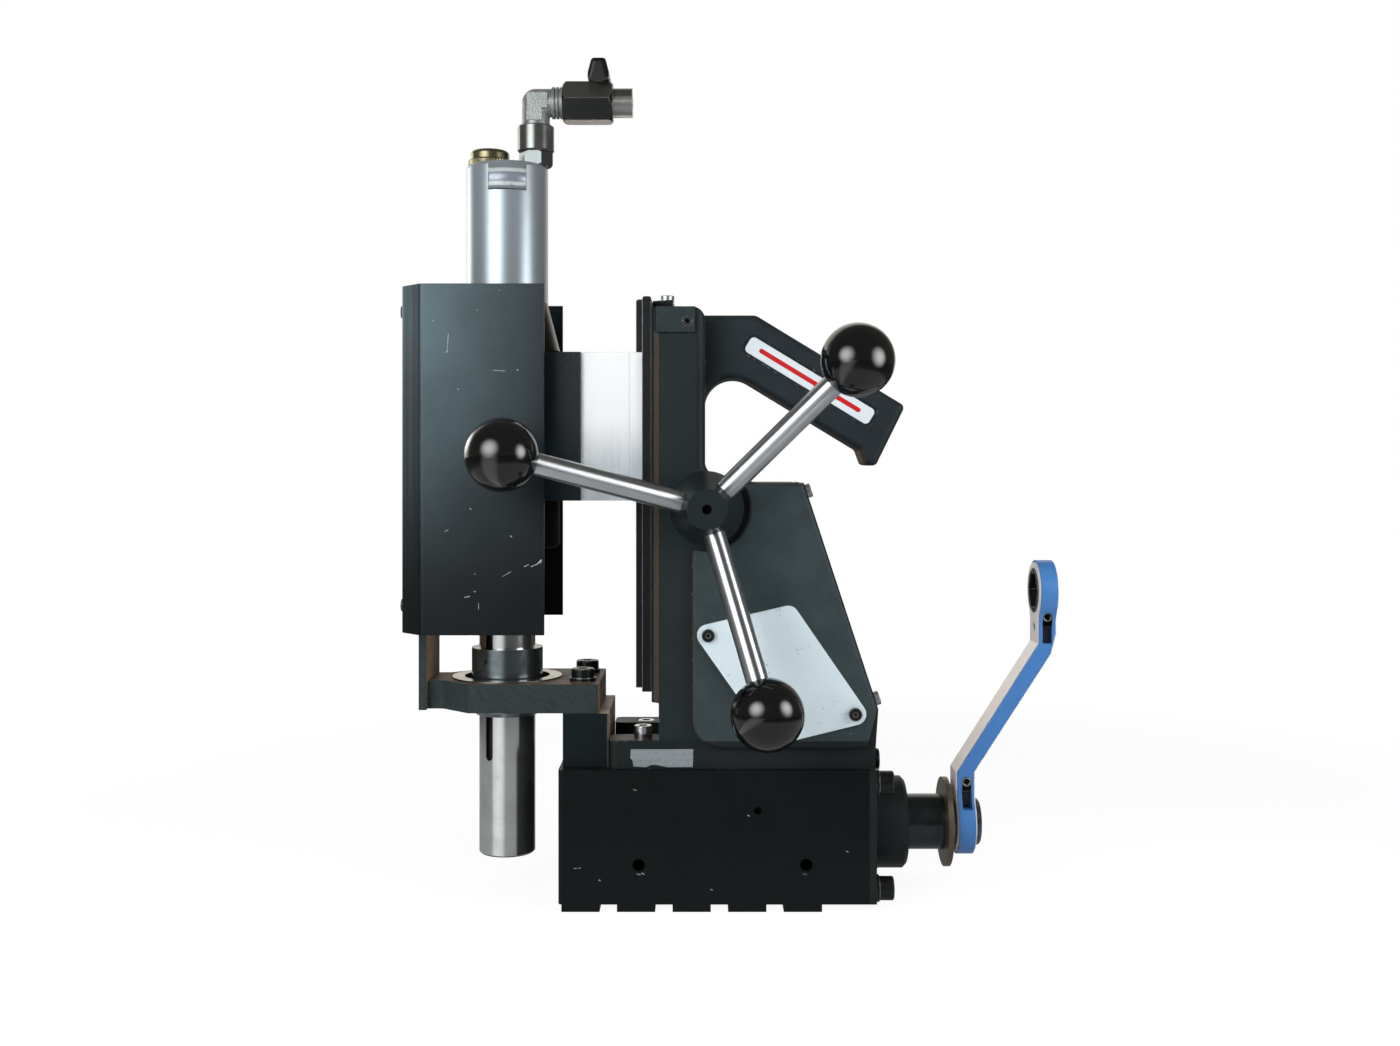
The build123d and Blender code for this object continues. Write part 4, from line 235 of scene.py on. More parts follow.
class Shade(Nodes):
    """One procedural material on the object's own coordinates."""

    def __init__(self, name, metallic=0.0, coat=0.0, specular=0.5):
        self.material = bpy.data.materials.new(name)
        super().__init__(self.material)
        self.bsdf = self.node("ShaderNodeBsdfPrincipled",
                              {"Metallic": metallic, "Coat Weight": coat, "Coat Roughness": COAT_ROUGHNESS,
                               "Specular IOR Level": specular})
        self.node("ShaderNodeOutputMaterial", {0: self.bsdf.outputs[0]})
        self.place = self.node("ShaderNodeTexCoord").outputs["Object"]

    def noise(self, size, detail=3.0, rough=0.5, stretch=(1, 1, 1), turn=(0, 0, 0)):
        """Noise whose features are about size metres across, longer along stretch, turned by degrees."""
        mapping = self.node("ShaderNodeMapping",
                            {"Scale": stretch, "Rotation": [math.radians(value) for value in turn],
                             "Vector": self.place}, vector_type="TEXTURE")
        made = self.node("ShaderNodeTexNoise", {"Scale": 1 / size, "Detail": detail, "Roughness": rough,
                                                "Vector": mapping.outputs[0]})
        return made.outputs["Fac"]

    def spread(self, pattern, low, high):
        """Noise pattern brought to the range from low to high."""
        return self.ramp(pattern, *NOISE_RANGE, low, high)

    def specks(self, size, radius):
        """One in small round spots spread at about size metres, zero elsewhere."""
        made = self.node("ShaderNodeTexVoronoi", {"Scale": 1 / size, "Vector": self.place})
        return self.step(made.outputs["Distance"], radius, radius * 0.6)

    def blend(self, share, first, second):
        """Number between first and second."""
        return self.node("ShaderNodeMix", {"Factor": share, 2: first, 3: second}).outputs[0]

    def mix(self, share, first, second):
        """Colour between first and second, each an output or three 0-255 screen values."""
        first, second = (srgb(*tone) if isinstance(tone, tuple) else tone for tone in (first, second))
        return self.node("ShaderNodeMix", {"Factor": share, 6: first, 7: second}, data_type="RGBA").outputs[2]

    def axis(self, name):
        """One coordinate of the surface point, in metres."""
        return self.node("ShaderNodeSeparateXYZ", {0: self.place}).outputs[name]

    def edges(self, radius):
        """Rises from zero near the object's sharp edges, within radius metres."""
        bevel = self.node("ShaderNodeBevel", {"Radius": radius}, samples=EDGE_SAMPLES)
        plain = self.node("ShaderNodeNewGeometry").outputs["Normal"]
        return self.math("SUBTRACT", 1.0, self.vector("DOT_PRODUCT", bevel.outputs[0], plain))

    def rim(self, radius, amount, low=0.04, high=0.2):
        """Share of up to amount along the object's sharp edges."""
        return self.ramp(self.edges(radius), low, high, 0.0, amount)

    def facing(self, way):
        """Dot product of the surface normal with a direction, both in the object's own frame."""
        return self.vector("DOT_PRODUCT", self.node("ShaderNodeTexCoord").outputs["Normal"], way)

    def marks(self, strokes):
        """One along short strokes on a side face, each (x0, z0, x1, z1, width) in mm."""
        spot = self.vector("MULTIPLY", self.place, (1, 0, 1))
        total = 0.0
        for x0, z0, x1, z1, width in strokes:
            run = Vector(((x1 - x0) * MM, 0, (z1 - z0) * MM))
            offset = self.vector("SUBTRACT", spot, (x0 * MM, 0, z0 * MM))
            along = self.vector("DOT_PRODUCT", offset, run / run.length_squared)
            along = self.ramp(along, 0.0, 1.0, 0.0, 1.0)
            foot = self.node("ShaderNodeVectorMath", {0: run, "Scale": along}, operation="SCALE")
            away = self.vector("DISTANCE", offset, foot.outputs[0])
            total = self.math("MAXIMUM", total, self.step(away, width * MM / 2, width * MM / 4))
        return total

    def relief(self, height, depth, soft_edge=0.0):
        """Bump of the given depth in metres, over slightly rounded edges if asked."""
        made = self.node("ShaderNodeBump", {"Distance": depth, "Strength": 1.0, "Height": height})
        if soft_edge:
            bevel = self.node("ShaderNodeBevel", {"Radius": soft_edge}, samples=BEVEL_SAMPLES)
            self.feed(made.inputs["Normal"], bevel.outputs[0])
        self.feed(self.bsdf.inputs["Normal"], made.outputs[0])

    def paint(self, colour):
        self.feed(self.bsdf.inputs["Base Color"], colour)

    def gloss(self, pattern, low, high):
        """Roughness from low to high over a noise pattern."""
        self.feed(self.bsdf.inputs["Roughness"], self.spread(pattern, low, high))


def chipped(made, radius, wear, grain=0.004):
    """One on bare spots along the edges and on a few scattered specks; wear widens them."""
    rim = made.times(made.step(made.edges(radius), 0.05, 0.22),
                     made.step(made.noise(grain, 4, 0.7), 0.64 - wear, 0.74 - wear))
    specks = made.times(made.specks(0.011, 0.03), made.step(made.noise(0.05, 2), 0.53, 0.6))
    return made.math("MAXIMUM", rim, specks)


def nicked(made):
    """One on small nicks along the edges of enamel."""
    return made.times(made.step(made.edges(0.0007), 0.06, 0.25),
                      made.step(made.noise(0.003, 4, 0.7), 0.58, 0.68))


def stained(made, colour, stain, amount):
    """Colour with soft patches of stain, at most amount of it."""
    return made.mix(made.ramp(made.noise(0.014, 4, 0.65), 0.45, 0.75, 0.0, amount), colour, stain)


def painted(name, dark, light, worn, roughness=0.42, wear=0.0, peel=0.0012, specular=0.15, dust_and_light=None,
            milled=None, rear_dust_and_light=None):
    """Paint over metal: mottled, orange peel, chipped edges; if asked, milled, and dust and painted warm
    light on top and rear faces.
    """
    made = Shade(name, specular=specular)
    colour = made.mix(made.noise(0.03, 4, 0.6), dark, light)
    if milled:
        lines = made.noise(0.0007, 3, 0.6, (9, 1, 1), (0, 38, 0))
        colour = made.mix(made.ramp(lines, 0.35, 0.7, 0.0, 0.7), colour, milled)
    # Dust and painted warm light: faces turned up, and those turned to +X, take a patchy warm tone
    if dust_and_light:
        upward = made.step(made.facing((0, 0, 1)), 0.5, 0.95)
        rearward = made.step(made.facing((1, 0, 0)), 0.6, 0.95)
        patches = made.spread(made.noise(0.012, 4, 0.65), 0.45, 1.0)
        colour = made.mix(made.times(upward, patches), colour, dust_and_light)
        colour = made.mix(made.times(rearward, patches), colour, rear_dust_and_light or dust_and_light)
    made.paint(made.mix(chipped(made, 0.0011, wear), colour, worn))
    made.gloss(made.noise(0.02, 3), roughness - 0.06, roughness + 0.06)
    made.relief(made.noise(peel, 2), 0.00012, 0.0005)
    return made.material


def casting_paint():
    """Slate paint on the casting: raised panels palest, the foot darkest, tops browned by dust and painted
    warm light, bare brown ways.
    """
    made = Shade("casting_paint", specular=0.18)
    depth = made.math("ABSOLUTE", made.axis("Y"))
    colour = made.mix(made.step(depth, *CASTING_WALL_Y), (37, 45, 49), (33, 43, 45))
    colour = made.mix(made.step(depth, *CASTING_PANEL_Y), colour, (56, 68, 71))
    mottle = made.noise(0.02, 4, 0.65)
    colour = made.mix(made.ramp(mottle, 0.35, 0.7, 0.0, 0.35), colour, (24, 30, 32))
    colour = made.mix(made.step(made.axis("Z"), *CASTING_FOOT_Z), colour, (26, 33, 35))
    ways = made.mix(made.noise(0.0014, 4, 0.7), (40, 34, 28), (96, 86, 76))
    bare = made.times(made.step(made.facing((-1, 0, 0)), 0.4, 0.7), made.step(made.axis("X"), *WAYS_X),
                      made.step(made.axis("Z"), *WAYS_TOP_Z))
    colour = made.mix(bare, colour, ways)
    # Dust and painted warm light: faces turned up are browned in patches
    upward = made.times(made.step(made.facing((0, 0, 1)), 0.6, 0.95),
                        made.spread(made.noise(0.01, 4, 0.65), 0.3, 0.9))
    colour = made.mix(upward, colour, (52, 43, 35))
    made.paint(made.mix(chipped(made, 0.0011, 0.09, 0.003), colour, (146, 152, 151)))
    made.gloss(made.noise(0.015, 3), 0.42, 0.54)
    made.relief(made.noise(0.0010, 2), 0.00014, 0.0006)
    return made.material


def metal(name, low, high, roughness, metallic=1.0, grain=(1, 1, 1), size=0.002, depth=0.00001,
          stain=None, amount=0.0, wear=0.0):
    """Bare machined metal: fine grain, faint stains and bright worn edges."""
    made = Shade(name, metallic=metallic)
    brushed = made.noise(size, 3, 0.6, grain)
    colour = made.mix(brushed, low, high)
    if stain:
        colour = stained(made, colour, stain, amount)
    if wear:
        colour = made.mix(made.rim(0.0009, wear), colour, (222, 222, 218))
    made.paint(colour)
    made.gloss(made.noise(0.006, 3, 0.6), roughness - 0.04, roughness + 0.05)
    made.relief(brushed, depth, 0.0 if grain == TURNED else METAL_BEVEL)
    return made.material


def guard_paint():
    """Dark slate with a painted sheen: palest at the top front, banded on the bevel; scratches, knocked
    corners.
    """
    made = Shade("guard_slate", specular=0.2)
    # Painted sheen for the left softbox's reflection: paler upwards, towards the front and in bands on the
    # bevel
    height = made.step(made.axis("Z"), *GUARD_SHEEN_Z)
    front = made.ramp(made.axis("X"), *GUARD_SHEEN_X, 0.16, 1.0)
    painted_facet_bands = made.ramp(made.noise(0.0055, 1, 0.4, (1, 1, 60)), 0.35, 0.65, 0.3, 0.75)
    bevel = made.step(made.axis("X"), *GUARD_BEVEL_X)
    painted_sheen = made.times(height, front, made.blend(bevel, 1.0, painted_facet_bands),
                      made.spread(made.noise(0.05, 5, 0.65), 0.72, 1.25))
    colour = made.mix(painted_sheen, (8, 15, 18), (82, 102, 109))
    scratch = made.times(made.marks(GUARD_SCRATCHES), made.step(made.axis("Y"), *GUARD_OUTSIDE_Y),
                         made.ramp(made.noise(0.0012, 3, 0.7), 0.35, 0.6, 0.2, 1.0))
    marks = made.math("MAXIMUM", scratch, chipped(made, 0.0009, 0.04))
    made.paint(made.mix(marks, colour, (186, 192, 192)))
    made.gloss(made.noise(0.025, 3), 0.36, 0.46)
    made.relief(made.noise(0.0011, 2), 0.00003, 0.0004)
    return made.material


def spacer_finish():
    """Bright brushed aluminium, greyer towards its lower end, with dark seams along its edges."""
    made = Shade("aluminium_bright", metallic=0.15)
    brushed = made.noise(0.0010, 3, 0.6, (1, 1, 40))
    low = made.times(made.step(made.axis("Z"), *SPACER_GREY_Z),
                     made.spread(made.noise(0.012, 4, 0.65, (1, 1, 3)), 0.55, 1.0))
    colour = made.mix(brushed, (243, 246, 248), (254, 254, 255))
    colour = made.mix(low, colour, made.mix(brushed, (172, 186, 195), (206, 216, 223)))
    made.paint(made.mix(made.rim(0.0005, 0.75, 0.05, 0.25), colour, (96, 104, 110)))
    made.gloss(brushed, 0.36, 0.48)
    made.relief(brushed, 0.00001)
    return made.material


def spindle_finish():
    """Ground steel, with the keyway and bore painted near black as shade."""
    made = Shade("steel_ground")
    grain = made.noise(0.012, 3, 0.6, TURNED)
    colour = stained(made, made.mix(grain, (206, 210, 208), (228, 232, 230)), (128, 120, 104), 0.25)
    radius = made.vector("DISTANCE", made.vector("MULTIPLY", made.place, (1, 1, 0)), (SPINDLE_X * MM, 0, 0))
    skin = made.step(radius, *((SPINDLE_R - inset) * MM for inset in SPINDLE_SKIN))
    # Painted shade: inside the skin, the keyway and bore are near black and matt
    made.paint(made.mix(skin, (12, 13, 13), colour))
    made.feed(made.bsdf.inputs["Metallic"], made.times(skin, 0.95))
    made.feed(made.bsdf.inputs["Roughness"], made.blend(skin, 0.6, made.spread(grain, 0.16, 0.21)))
    made.relief(grain, 0.000004)
    return made.material


def split_metal(name, axis, edge, first, second, roughness, metallic=0.95, painted_reflections=(), worn=0.7):
    """Metal of two shades along an axis; painted_reflections give (direction, colour) of facets painted as
    reflections; unworn is smooth.
    """
    made = Shade(name, metallic=metallic)
    grain = made.noise(0.004, 3, 0.6)
    side = made.step(made.axis(axis), edge - SPLIT_SOFT, edge + SPLIT_SOFT)
    colour = made.mix(side, made.mix(grain, *first), made.mix(grain, *second))
    shine = metallic
    # Painted reflection: facets turned one way take a flat colour and nearly lose their metal shine
    for way, tone in painted_reflections:
        turned = made.step(made.facing(way), 0.9, 0.98)
        colour = made.mix(turned, colour, tone)
        shine = made.blend(turned, shine, 0.1)
    made.feed(made.bsdf.inputs["Metallic"], shine)
    if worn:
        colour = made.mix(made.rim(0.0006, worn), colour, (214, 206, 198))
    made.paint(colour)
    uneven, depth, bevel = (0.045, 0.00001, METAL_BEVEL) if worn else (0.012, 0.000002, 0.0)
    made.gloss(made.noise(0.006, 3), roughness - uneven, roughness + uneven)
    made.relief(grain, depth, bevel)
    return made.material


def spanner_paint():
    """Blue enamel, painted shade on the floors of the selectors' slots, and nicked edges."""
    made = Shade("spanner_blue", coat=0.2, specular=0.4)
    colour = made.mix(made.noise(0.015, 3, 0.6), (54, 108, 171), (74, 130, 194))
    # Painted shade: the slots' floors, facing -Y inside the body, are near black
    sunk = made.times(made.step(made.facing((0, -1, 0)), 0.9, 0.98), made.step(made.axis("Y"), *SLOT_FLOOR_Y))
    colour = made.mix(sunk, colour, (14, 20, 34))
    made.paint(made.mix(nicked(made), colour, (176, 182, 196)))
    made.gloss(made.noise(0.01, 3), 0.3, 0.42)
    made.relief(made.noise(0.0018, 2), 0.00003, 0.0004)
    return made.material


def pole_paint(name, low, high):
    """Black paint with the bare metal of the ground sole showing underneath."""
    made = Shade(name, specular=0.12)
    colour = made.mix(made.noise(0.03, 4, 0.6), (13, 16, 17), (20, 25, 26))
    lower = made.ramp(made.axis("Z"), *POLE_PALE_Z, 0.0, 0.5)
    colour = made.mix(lower, colour, (25, 32, 32))
    colour = made.mix(chipped(made, 0.0009, -0.02), colour, (120, 126, 126))
    chips = made.times(made.marks(BASE_CHIPS), made.step(made.axis("Y"), *POLE_SIDE_Y),
                       made.step(made.noise(0.0008, 3, 0.7), 0.42, 0.55))
    colour = made.mix(chips, colour, (168, 176, 178))
    under = made.times(made.step(made.facing((0, 0, -1)), 0.7, 0.9), made.step(made.axis("Z"), *POLE_SOLE_Z))
    made.paint(made.mix(under, colour, made.mix(made.noise(0.0015, 3, 0.6, (1, 20, 1)), low, high)))
    made.feed(made.bsdf.inputs["Metallic"], under)
    made.gloss(made.noise(0.02, 3), 0.34, 0.44)
    made.relief(made.noise(0.0013, 2), 0.00006, 0.0005)
    return made.material


def rod_finish():
    """Ground and plated steel: its fine rings spread the light along each rod, away from the hub's axis."""
    made = Shade("chrome_ground", metallic=1.0)
    grain = made.noise(0.02, 3, 0.6)
    made.paint(made.mix(grain, (206, 211, 216), (228, 232, 236)))
    low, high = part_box("pinion_shaft")
    spoke = made.vector("SUBTRACT", made.place, (low + high) / 2)
    spoke = made.vector("MULTIPLY", spoke, (1, 0, 1))
    turned = made.node("ShaderNodeVectorTransform", {0: spoke}, convert_from="OBJECT", convert_to="WORLD")
    made.feed(made.bsdf.inputs["Tangent"], made.vector("NORMALIZE", turned.outputs[0]))
    made.feed(made.bsdf.inputs["Anisotropic"], 0.9)
    made.gloss(made.noise(0.006, 3), 0.33, 0.38)
    made.relief(grain, 0.000001)
    return made.material


def glossy_black(name, roughness, coat):
    """Moulded black plastic with faint handling smears."""
    made = Shade(name, coat=coat)
    smear = made.noise(0.006, 4, 0.65)
    made.paint(made.mix(smear, (8, 8, 9), (16, 17, 18)))
    made.gloss(smear, roughness, roughness + 0.06)
    made.relief(made.noise(0.004, 2), 0.000012)
    return made.material


def stripe_enamel():
    """Smooth red enamel with small nicks along its edges."""
    made = Shade("badge_red", coat=0.25, specular=0.4)
    colour = made.mix(made.noise(0.015, 3, 0.6), (190, 22, 32), (210, 32, 40))
    made.paint(made.mix(nicked(made), colour, (190, 190, 188)))
    made.gloss(made.noise(0.01, 3), 0.29, 0.39)
    made.relief(made.noise(0.0018, 2), 0.00004, 0.0004)
    return made.material


def plate_finish():
    """Pale satin plate with dark specks and scuffs."""
    made = Shade("plate_pale", metallic=0.2)
    colour = made.mix(made.noise(0.03, 4, 0.6), (216, 236, 246), (238, 251, 255))
    scuffs = made.times(made.step(made.noise(0.0022, 4, 0.7), 0.6, 0.68),
                        made.ramp(made.noise(0.02, 3), 0.56, 0.66, 0.0, 0.7))
    dots = made.times(made.specks(0.008, 0.05), made.step(made.noise(0.035, 2), 0.52, 0.6))
    made.paint(made.mix(made.math("MAXIMUM", scuffs, dots), colour, (70, 78, 82)))
    made.gloss(made.noise(0.012, 3), 0.32, 0.45)
    made.relief(made.noise(0.0009, 2), 0.00001, 0.0003)
    return made.material


def foil(name, bands=()):
    """Silver foil label with plain bands across its height."""
    made = Shade(name, metallic=0.45)
    colour = made.mix(made.noise(0.002, 3, 0.6, (12, 1, 1)), (138, 148, 152), (176, 186, 190))
    height = made.axis("Z")
    for low, high, tone in bands:
        inside = made.times(made.step(height, *(low + shift for shift in BAND_EDGE)),
                            made.step(height, *(high - shift for shift in BAND_EDGE)))
        colour = made.mix(inside, colour, tone)
    worn = made.ramp(made.noise(0.003, 4, 0.7), 0.55, 0.7, 0.0, 0.5)
    made.paint(made.mix(worn, colour, (104, 112, 114)))
    made.gloss(made.noise(0.003, 3), 0.28, 0.42)
    made.relief(made.noise(0.003, 3), 0.00003)
    return made.material


def badge_white():
    """White strip with a greyed rim."""
    made = Shade("badge_white", coat=0.3)
    colour = made.mix(made.noise(0.01, 3), (212, 223, 229), (230, 238, 242))
    made.paint(made.mix(made.rim(0.0008, 0.5, 0.05, 0.3), colour, (176, 182, 184)))
    made.gloss(made.noise(0.005, 3), 0.26, 0.38)
    made.relief(made.noise(0.0012, 2), 0.00001)
    return made.material


MATERIALS = {
    "pole": pole_paint("pole_black", (120, 122, 122), (168, 170, 170)),
    "pole_brass": pole_paint("pole_spacer_black", (150, 118, 62), (200, 166, 98)),
    "base": painted("base_black", (13, 16, 17), (21, 26, 27), (120, 126, 126), wear=-0.02, specular=0.12),
    "casting": casting_paint(),
    "cover": painted("cover_paint", (32, 41, 43), (44, 54, 57), (146, 152, 151), 0.48, 0.06, 0.0010),
    # Bracket, riser and mount: top and rear faces warmed by dust and painted warm light
    "bracket": painted("bracket_paint", (48, 59, 60), (58, 68, 69), (150, 150, 142), 0.48, 0.05, 0.0014,
                       dust_and_light=(112, 88, 66), milled=(34, 40, 40), rear_dust_and_light=(158, 126, 96)),
    "riser": painted("riser_black", (15, 25, 28), (22, 32, 35), (130, 130, 122), peel=0.0013, specular=0.12,
                     dust_and_light=(196, 172, 146), rear_dust_and_light=(250, 226, 194)),
    "mount": painted("mount_black", (18, 27, 32), (30, 42, 48), (120, 122, 120), 0.36, peel=0.0013,
                     specular=0.25, dust_and_light=(46, 40, 36)),
    # Painted shade: the gearbox housing is near black, and its edges are painted tan as a rim highlight
    "housing": painted("housing_painted_shade", (18, 17, 16), (30, 27, 25), (196, 164, 124), 0.6, 0.1, 0.0013, 0.04),
    "guard": guard_paint(),
    "boss": painted("boss_black", (24, 30, 31), (36, 43, 44), (120, 126, 126), wear=-0.02),
    # Black screws: pale edges from wear, and a painted highlight along the heads' rims
    "screw": metal("screw_black", (34, 37, 39), (54, 58, 60), 0.3, 0.8, wear=0.6),
    "zinc": metal("screw_zinc", (150, 154, 156), (196, 199, 200), 0.3, 0.85),
    "slide": metal("slide_dark", (30, 33, 35), (46, 50, 52), 0.36, 0.8, (1, 1, 25), 0.0012,
                   stain=(30, 31, 32), amount=0.5, wear=0.6),
    "steel": metal("steel_turned", (196, 198, 194), (216, 218, 215), 0.2, 0.9, TURNED, 0.012, 0.000004,
                   stain=(116, 108, 92), amount=0.3),
    "spindle": spindle_finish(),
    "collar": metal("steel_collar", (112, 122, 126), (146, 157, 160), 0.2, 0.9, TURNED, 0.012,
                    stain=(70, 74, 75), amount=0.4, wear=0.3),
    "dark_steel": metal("steel_dark", (86, 95, 98), (116, 126, 129), 0.24, 0.9, TURNED, 0.012,
                        stain=(50, 52, 52), amount=0.5, wear=0.3),
    "shaft": metal("shaft_oiled", (54, 61, 63), (76, 84, 86), 0.22, 0.9, (0.05, 1, 1), 0.012,
                   stain=(30, 32, 33), amount=0.5, wear=0.2),
    "washer": metal("washer_brown", (84, 76, 66), (120, 108, 92), 0.4, 0.6, size=0.003, depth=0.00002,
                    stain=(58, 52, 46), amount=0.6),
    "black_oxide": metal("steel_black_oxide", (22, 25, 27), (40, 44, 46), 0.3, 0.8, wear=0.5),
    "selector": split_metal("selector_black", "Y", SELECTOR_SPLIT_Y, ((150, 152, 148), (206, 206, 200)),
                            ((16, 19, 26), (30, 34, 42)), 0.25),
    "bush": split_metal("bush_bronze", "X", BUSH_SPLIT_X, ((13, 16, 17), (21, 26, 27)),
                        ((140, 108, 60), (186, 150, 92)), 0.35),
    "cream_steel": metal("steel_ring", (126, 124, 116), (160, 156, 146), 0.22, 0.95, TURNED, 0.006,
                         stain=(112, 100, 82), amount=0.4, wear=0.6),
    "spacer": spacer_finish(),
    # Painted shade: below its split the motor is near black, the shade on its cone behind the guard
    "motor": split_metal("aluminium_satin", "Z", MOTOR_SPLIT_Z, ((22, 21, 20), (34, 32, 30)),
                         ((153, 165, 172), (163, 174, 181)), 0.3, 0.5, worn=0.0),
    "brass": metal("brass_aged", (114, 107, 82), (158, 151, 122), 0.24, 0.9, depth=0.00002,
                   stain=(70, 64, 44), amount=0.6),
    "nipple": metal("nickel_hex", (92, 100, 101), (113, 120, 121), 0.2, 0.8, size=0.003,
                    stain=(100, 96, 86), amount=0.3),
    "nickel": metal("nickel_satin", (108, 114, 112), (132, 137, 135), 0.18, 0.8, TURNED, 0.006,
                    stain=(116, 108, 92), amount=0.3),
    # Valve: painted reflections, the downward facet near white as the white floor mirrored, the upper front
    # facet dark olive
    "dark_chrome": split_metal("valve_chrome", "X", VALVE_SPLIT_X, ((44, 48, 47), (62, 65, 62)),
                               ((150, 150, 148), (184, 184, 182)), 0.24, 0.85,
                               (((0, 0, -1), (250, 240, 232)), ((0, -0.866, 0.5), (58, 60, 54)))),
    "forged": metal("nickel_forged", (130, 136, 136), (168, 174, 174), 0.36, 0.55, size=0.0012, depth=0.00014,
                    stain=(126, 126, 118), amount=0.35),
    "chrome": metal("chrome_bright", (190, 196, 202), (216, 221, 226), 0.11, size=0.02, depth=0.000001),
    "rod": rod_finish(),
    "magnet": metal("magnet_ground", (140, 143, 147), (168, 171, 175), 0.3),
    "knob": glossy_black("knob_black", 0.1, 0.5),
    "handle": glossy_black("wing_black", 0.3, 0.1),
    "hub": painted("hub_black", (24, 31, 34), (34, 42, 45), (120, 126, 128), 0.36, 0.02, 0.0016, 0.2),
    "blue": spanner_paint(),
    # Painted reflection: the polished face plates are coloured near white, as the white backdrop they mirror
    "cream": metal("spanner_face", (248, 240, 234), (255, 250, 246), 0.36, 0.1, size=0.003,
                   stain=(238, 226, 218), amount=0.4),
    "plate": plate_finish(),
    "badge": badge_white(),
    "stripe": stripe_enamel(),
    "foot_label": foil("label_foot"),
    "motor_label": foil("label_motor", MOTOR_BANDS),
}

FINISH = {
    "pole": ("pole_capstan_side", "pole_far_side"),
    "pole_brass": ("pole_spacers",),
    "base": ("side_plug",),
    "boss": ("rear_bearing_housing",),
    "casting": ("frame_casting",),
    "cover": ("rear_cover",),
    "bracket": ("support_bracket",),
    "riser": ("riser_block",),
    "mount": ("mount_block",),
    "guard": ("guard",),
    "screw": ("washer_screws", "button_screws", "gib_screws"),
    "zinc": ("carriage_screws", "rear_cover_screws"),
    "slide": ("slide_plate", "rack"),
    "spindle": ("spindle",),
    "steel": ("rotor_core", "spindle_bearing_outers", "spindle_bearing_inners", "ring_gear", "planet_1",
              "planet_2", "planet_3", "motor_rotor", "pinion_shaft", "cutter_screws"),
    "black_oxide": ("upper_ratchet_ring",),
    "selector": ("lower_selector", "upper_selector"),
    "bush": ("bronze_bushes",),
    "housing": ("gearbox_housing",),
    "dark_steel": ("shaft_end_cap", "lower_ratchet_ring"),
    "collar": ("drive_collar",),
    "shaft": ("rotor_shaft",),
    "washer": ("drive_washer",),
    "cream_steel": ("steady_bearing_outer",),
    "spacer": ("adapter_plate", "spacer_block"),
    "motor": ("motor_body", "motor_end_plate"),
    "brass": ("gib_strip", "silencer"),
    "nipple": ("inlet_nipple",),
    "nickel": ("inlet_socket", "valve_ball"),
    "dark_chrome": ("valve_body",),
    "forged": ("inlet_elbow",),
    "chrome": ("foot_screws",),
    "rod": ("capstan_rods",),
    "magnet": ("rotor_magnets",),
    "knob": ("capstan_knobs",),
    "handle": ("valve_handle",),
    "hub": ("capstan_hub",),
    "blue": ("spanner_body",),
    "cream": ("spanner_face_plates",),
    "plate": ("blanking_plate",),
}

for finish, names in FINISH.items():
    for name in names:
        NODES[name].data.materials.clear()
        NODES[name].data.materials.append(MATERIALS[finish])


def shown(made):
    """Put a new object in the scene."""
    bpy.context.scene.collection.objects.link(made)
    return made


def piece(name, mesh, finish, body):
    """Mesh object with its material, riding on a body."""
    mesh.materials.append(MATERIALS[finish])
    made = shown(bpy.data.objects.new(name, mesh))
    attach(made, body)
    return made


def finished(name, work):
    """Mesh from a bmesh, with its faces turned outwards."""
    bmesh.ops.recalc_face_normals(work, faces=work.faces)
    mesh = bpy.data.meshes.new(name)
    work.to_mesh(mesh)
    work.free()
    return mesh


def plate_mesh(name, outline, thick, bevel):
    """Flat plate in XY from an outline, rising thick along +Z, with its upper rim bevelled."""
    work = bmesh.new()
    face = work.faces.new([work.verts.new((x * MM, y * MM, 0)) for x, y in outline])
    risen = bmesh.ops.extrude_face_region(work, geom=[face])
    top = [item for item in risen["geom"] if isinstance(item, bmesh.types.BMVert)]
    bmesh.ops.translate(work, verts=top, vec=(0, 0, thick * MM))
    rim = [edge for edge in work.edges if all(vert in top for vert in edge.verts)]
    bmesh.ops.bevel(work, geom=rim, offset=bevel * MM, segments=BEVEL_SEGMENTS, affect="EDGES", profile=0.5)
    return finished(name, work)


def rounded_outline(width, height, radius):
    """Rounded rectangle about the origin."""
    points = []
    for quarter, (sx, sy) in enumerate(((1, 1), (-1, 1), (-1, -1), (1, -1))):
        for n in range(CORNER_STEPS + 1):
            angle = math.radians(90 * (quarter + n / CORNER_STEPS))
            points.append((sx * (width / 2 - radius) + radius * math.cos(angle),
                           sy * (height / 2 - radius) + radius * math.sin(angle)))
    return points


def side_place(x, y, z, angle, side):
    """Frame whose +Z points out of the near (-1) or far (+1) side, turned down by angle towards +X."""
    turn = Matrix.Rotation(math.radians(angle), 4, "Y")
    out = Matrix.Rotation(math.radians(-90 * side), 4, "X")
    return Matrix.Translation((x * MM, y * MM, z * MM)) @ turn @ out


def add_badges():
    """White strip with a plain red stripe in each side's recess of the handle."""
    strip = rounded_outline(*BADGE["size"], BADGE["corner"])
    stripe = rounded_outline(*STRIPE["size"], STRIPE["corner"])
    x, z = BADGE["centre"]
    for side, word in ((-1, "near"), (1, "far")):
        mesh = plate_mesh("badge_" + word, strip, BADGE["thick"], BADGE["bevel"])
        mesh.transform(side_place(x, side * BADGE_SEAT_Y, z, BADGE["angle"], side))
        piece("badge_" + word, mesh, "badge", "base")
        seat = BADGE_SEAT_Y + BADGE["thick"] - STRIPE["sunk"]
        mesh = plate_mesh("badge_stripe_" + word, stripe, STRIPE["rise"], STRIPE["bevel"])
        mesh.transform(side_place(x, side * seat, z, BADGE["angle"], side))
        piece("badge_stripe_" + word, mesh, "stripe", "base")


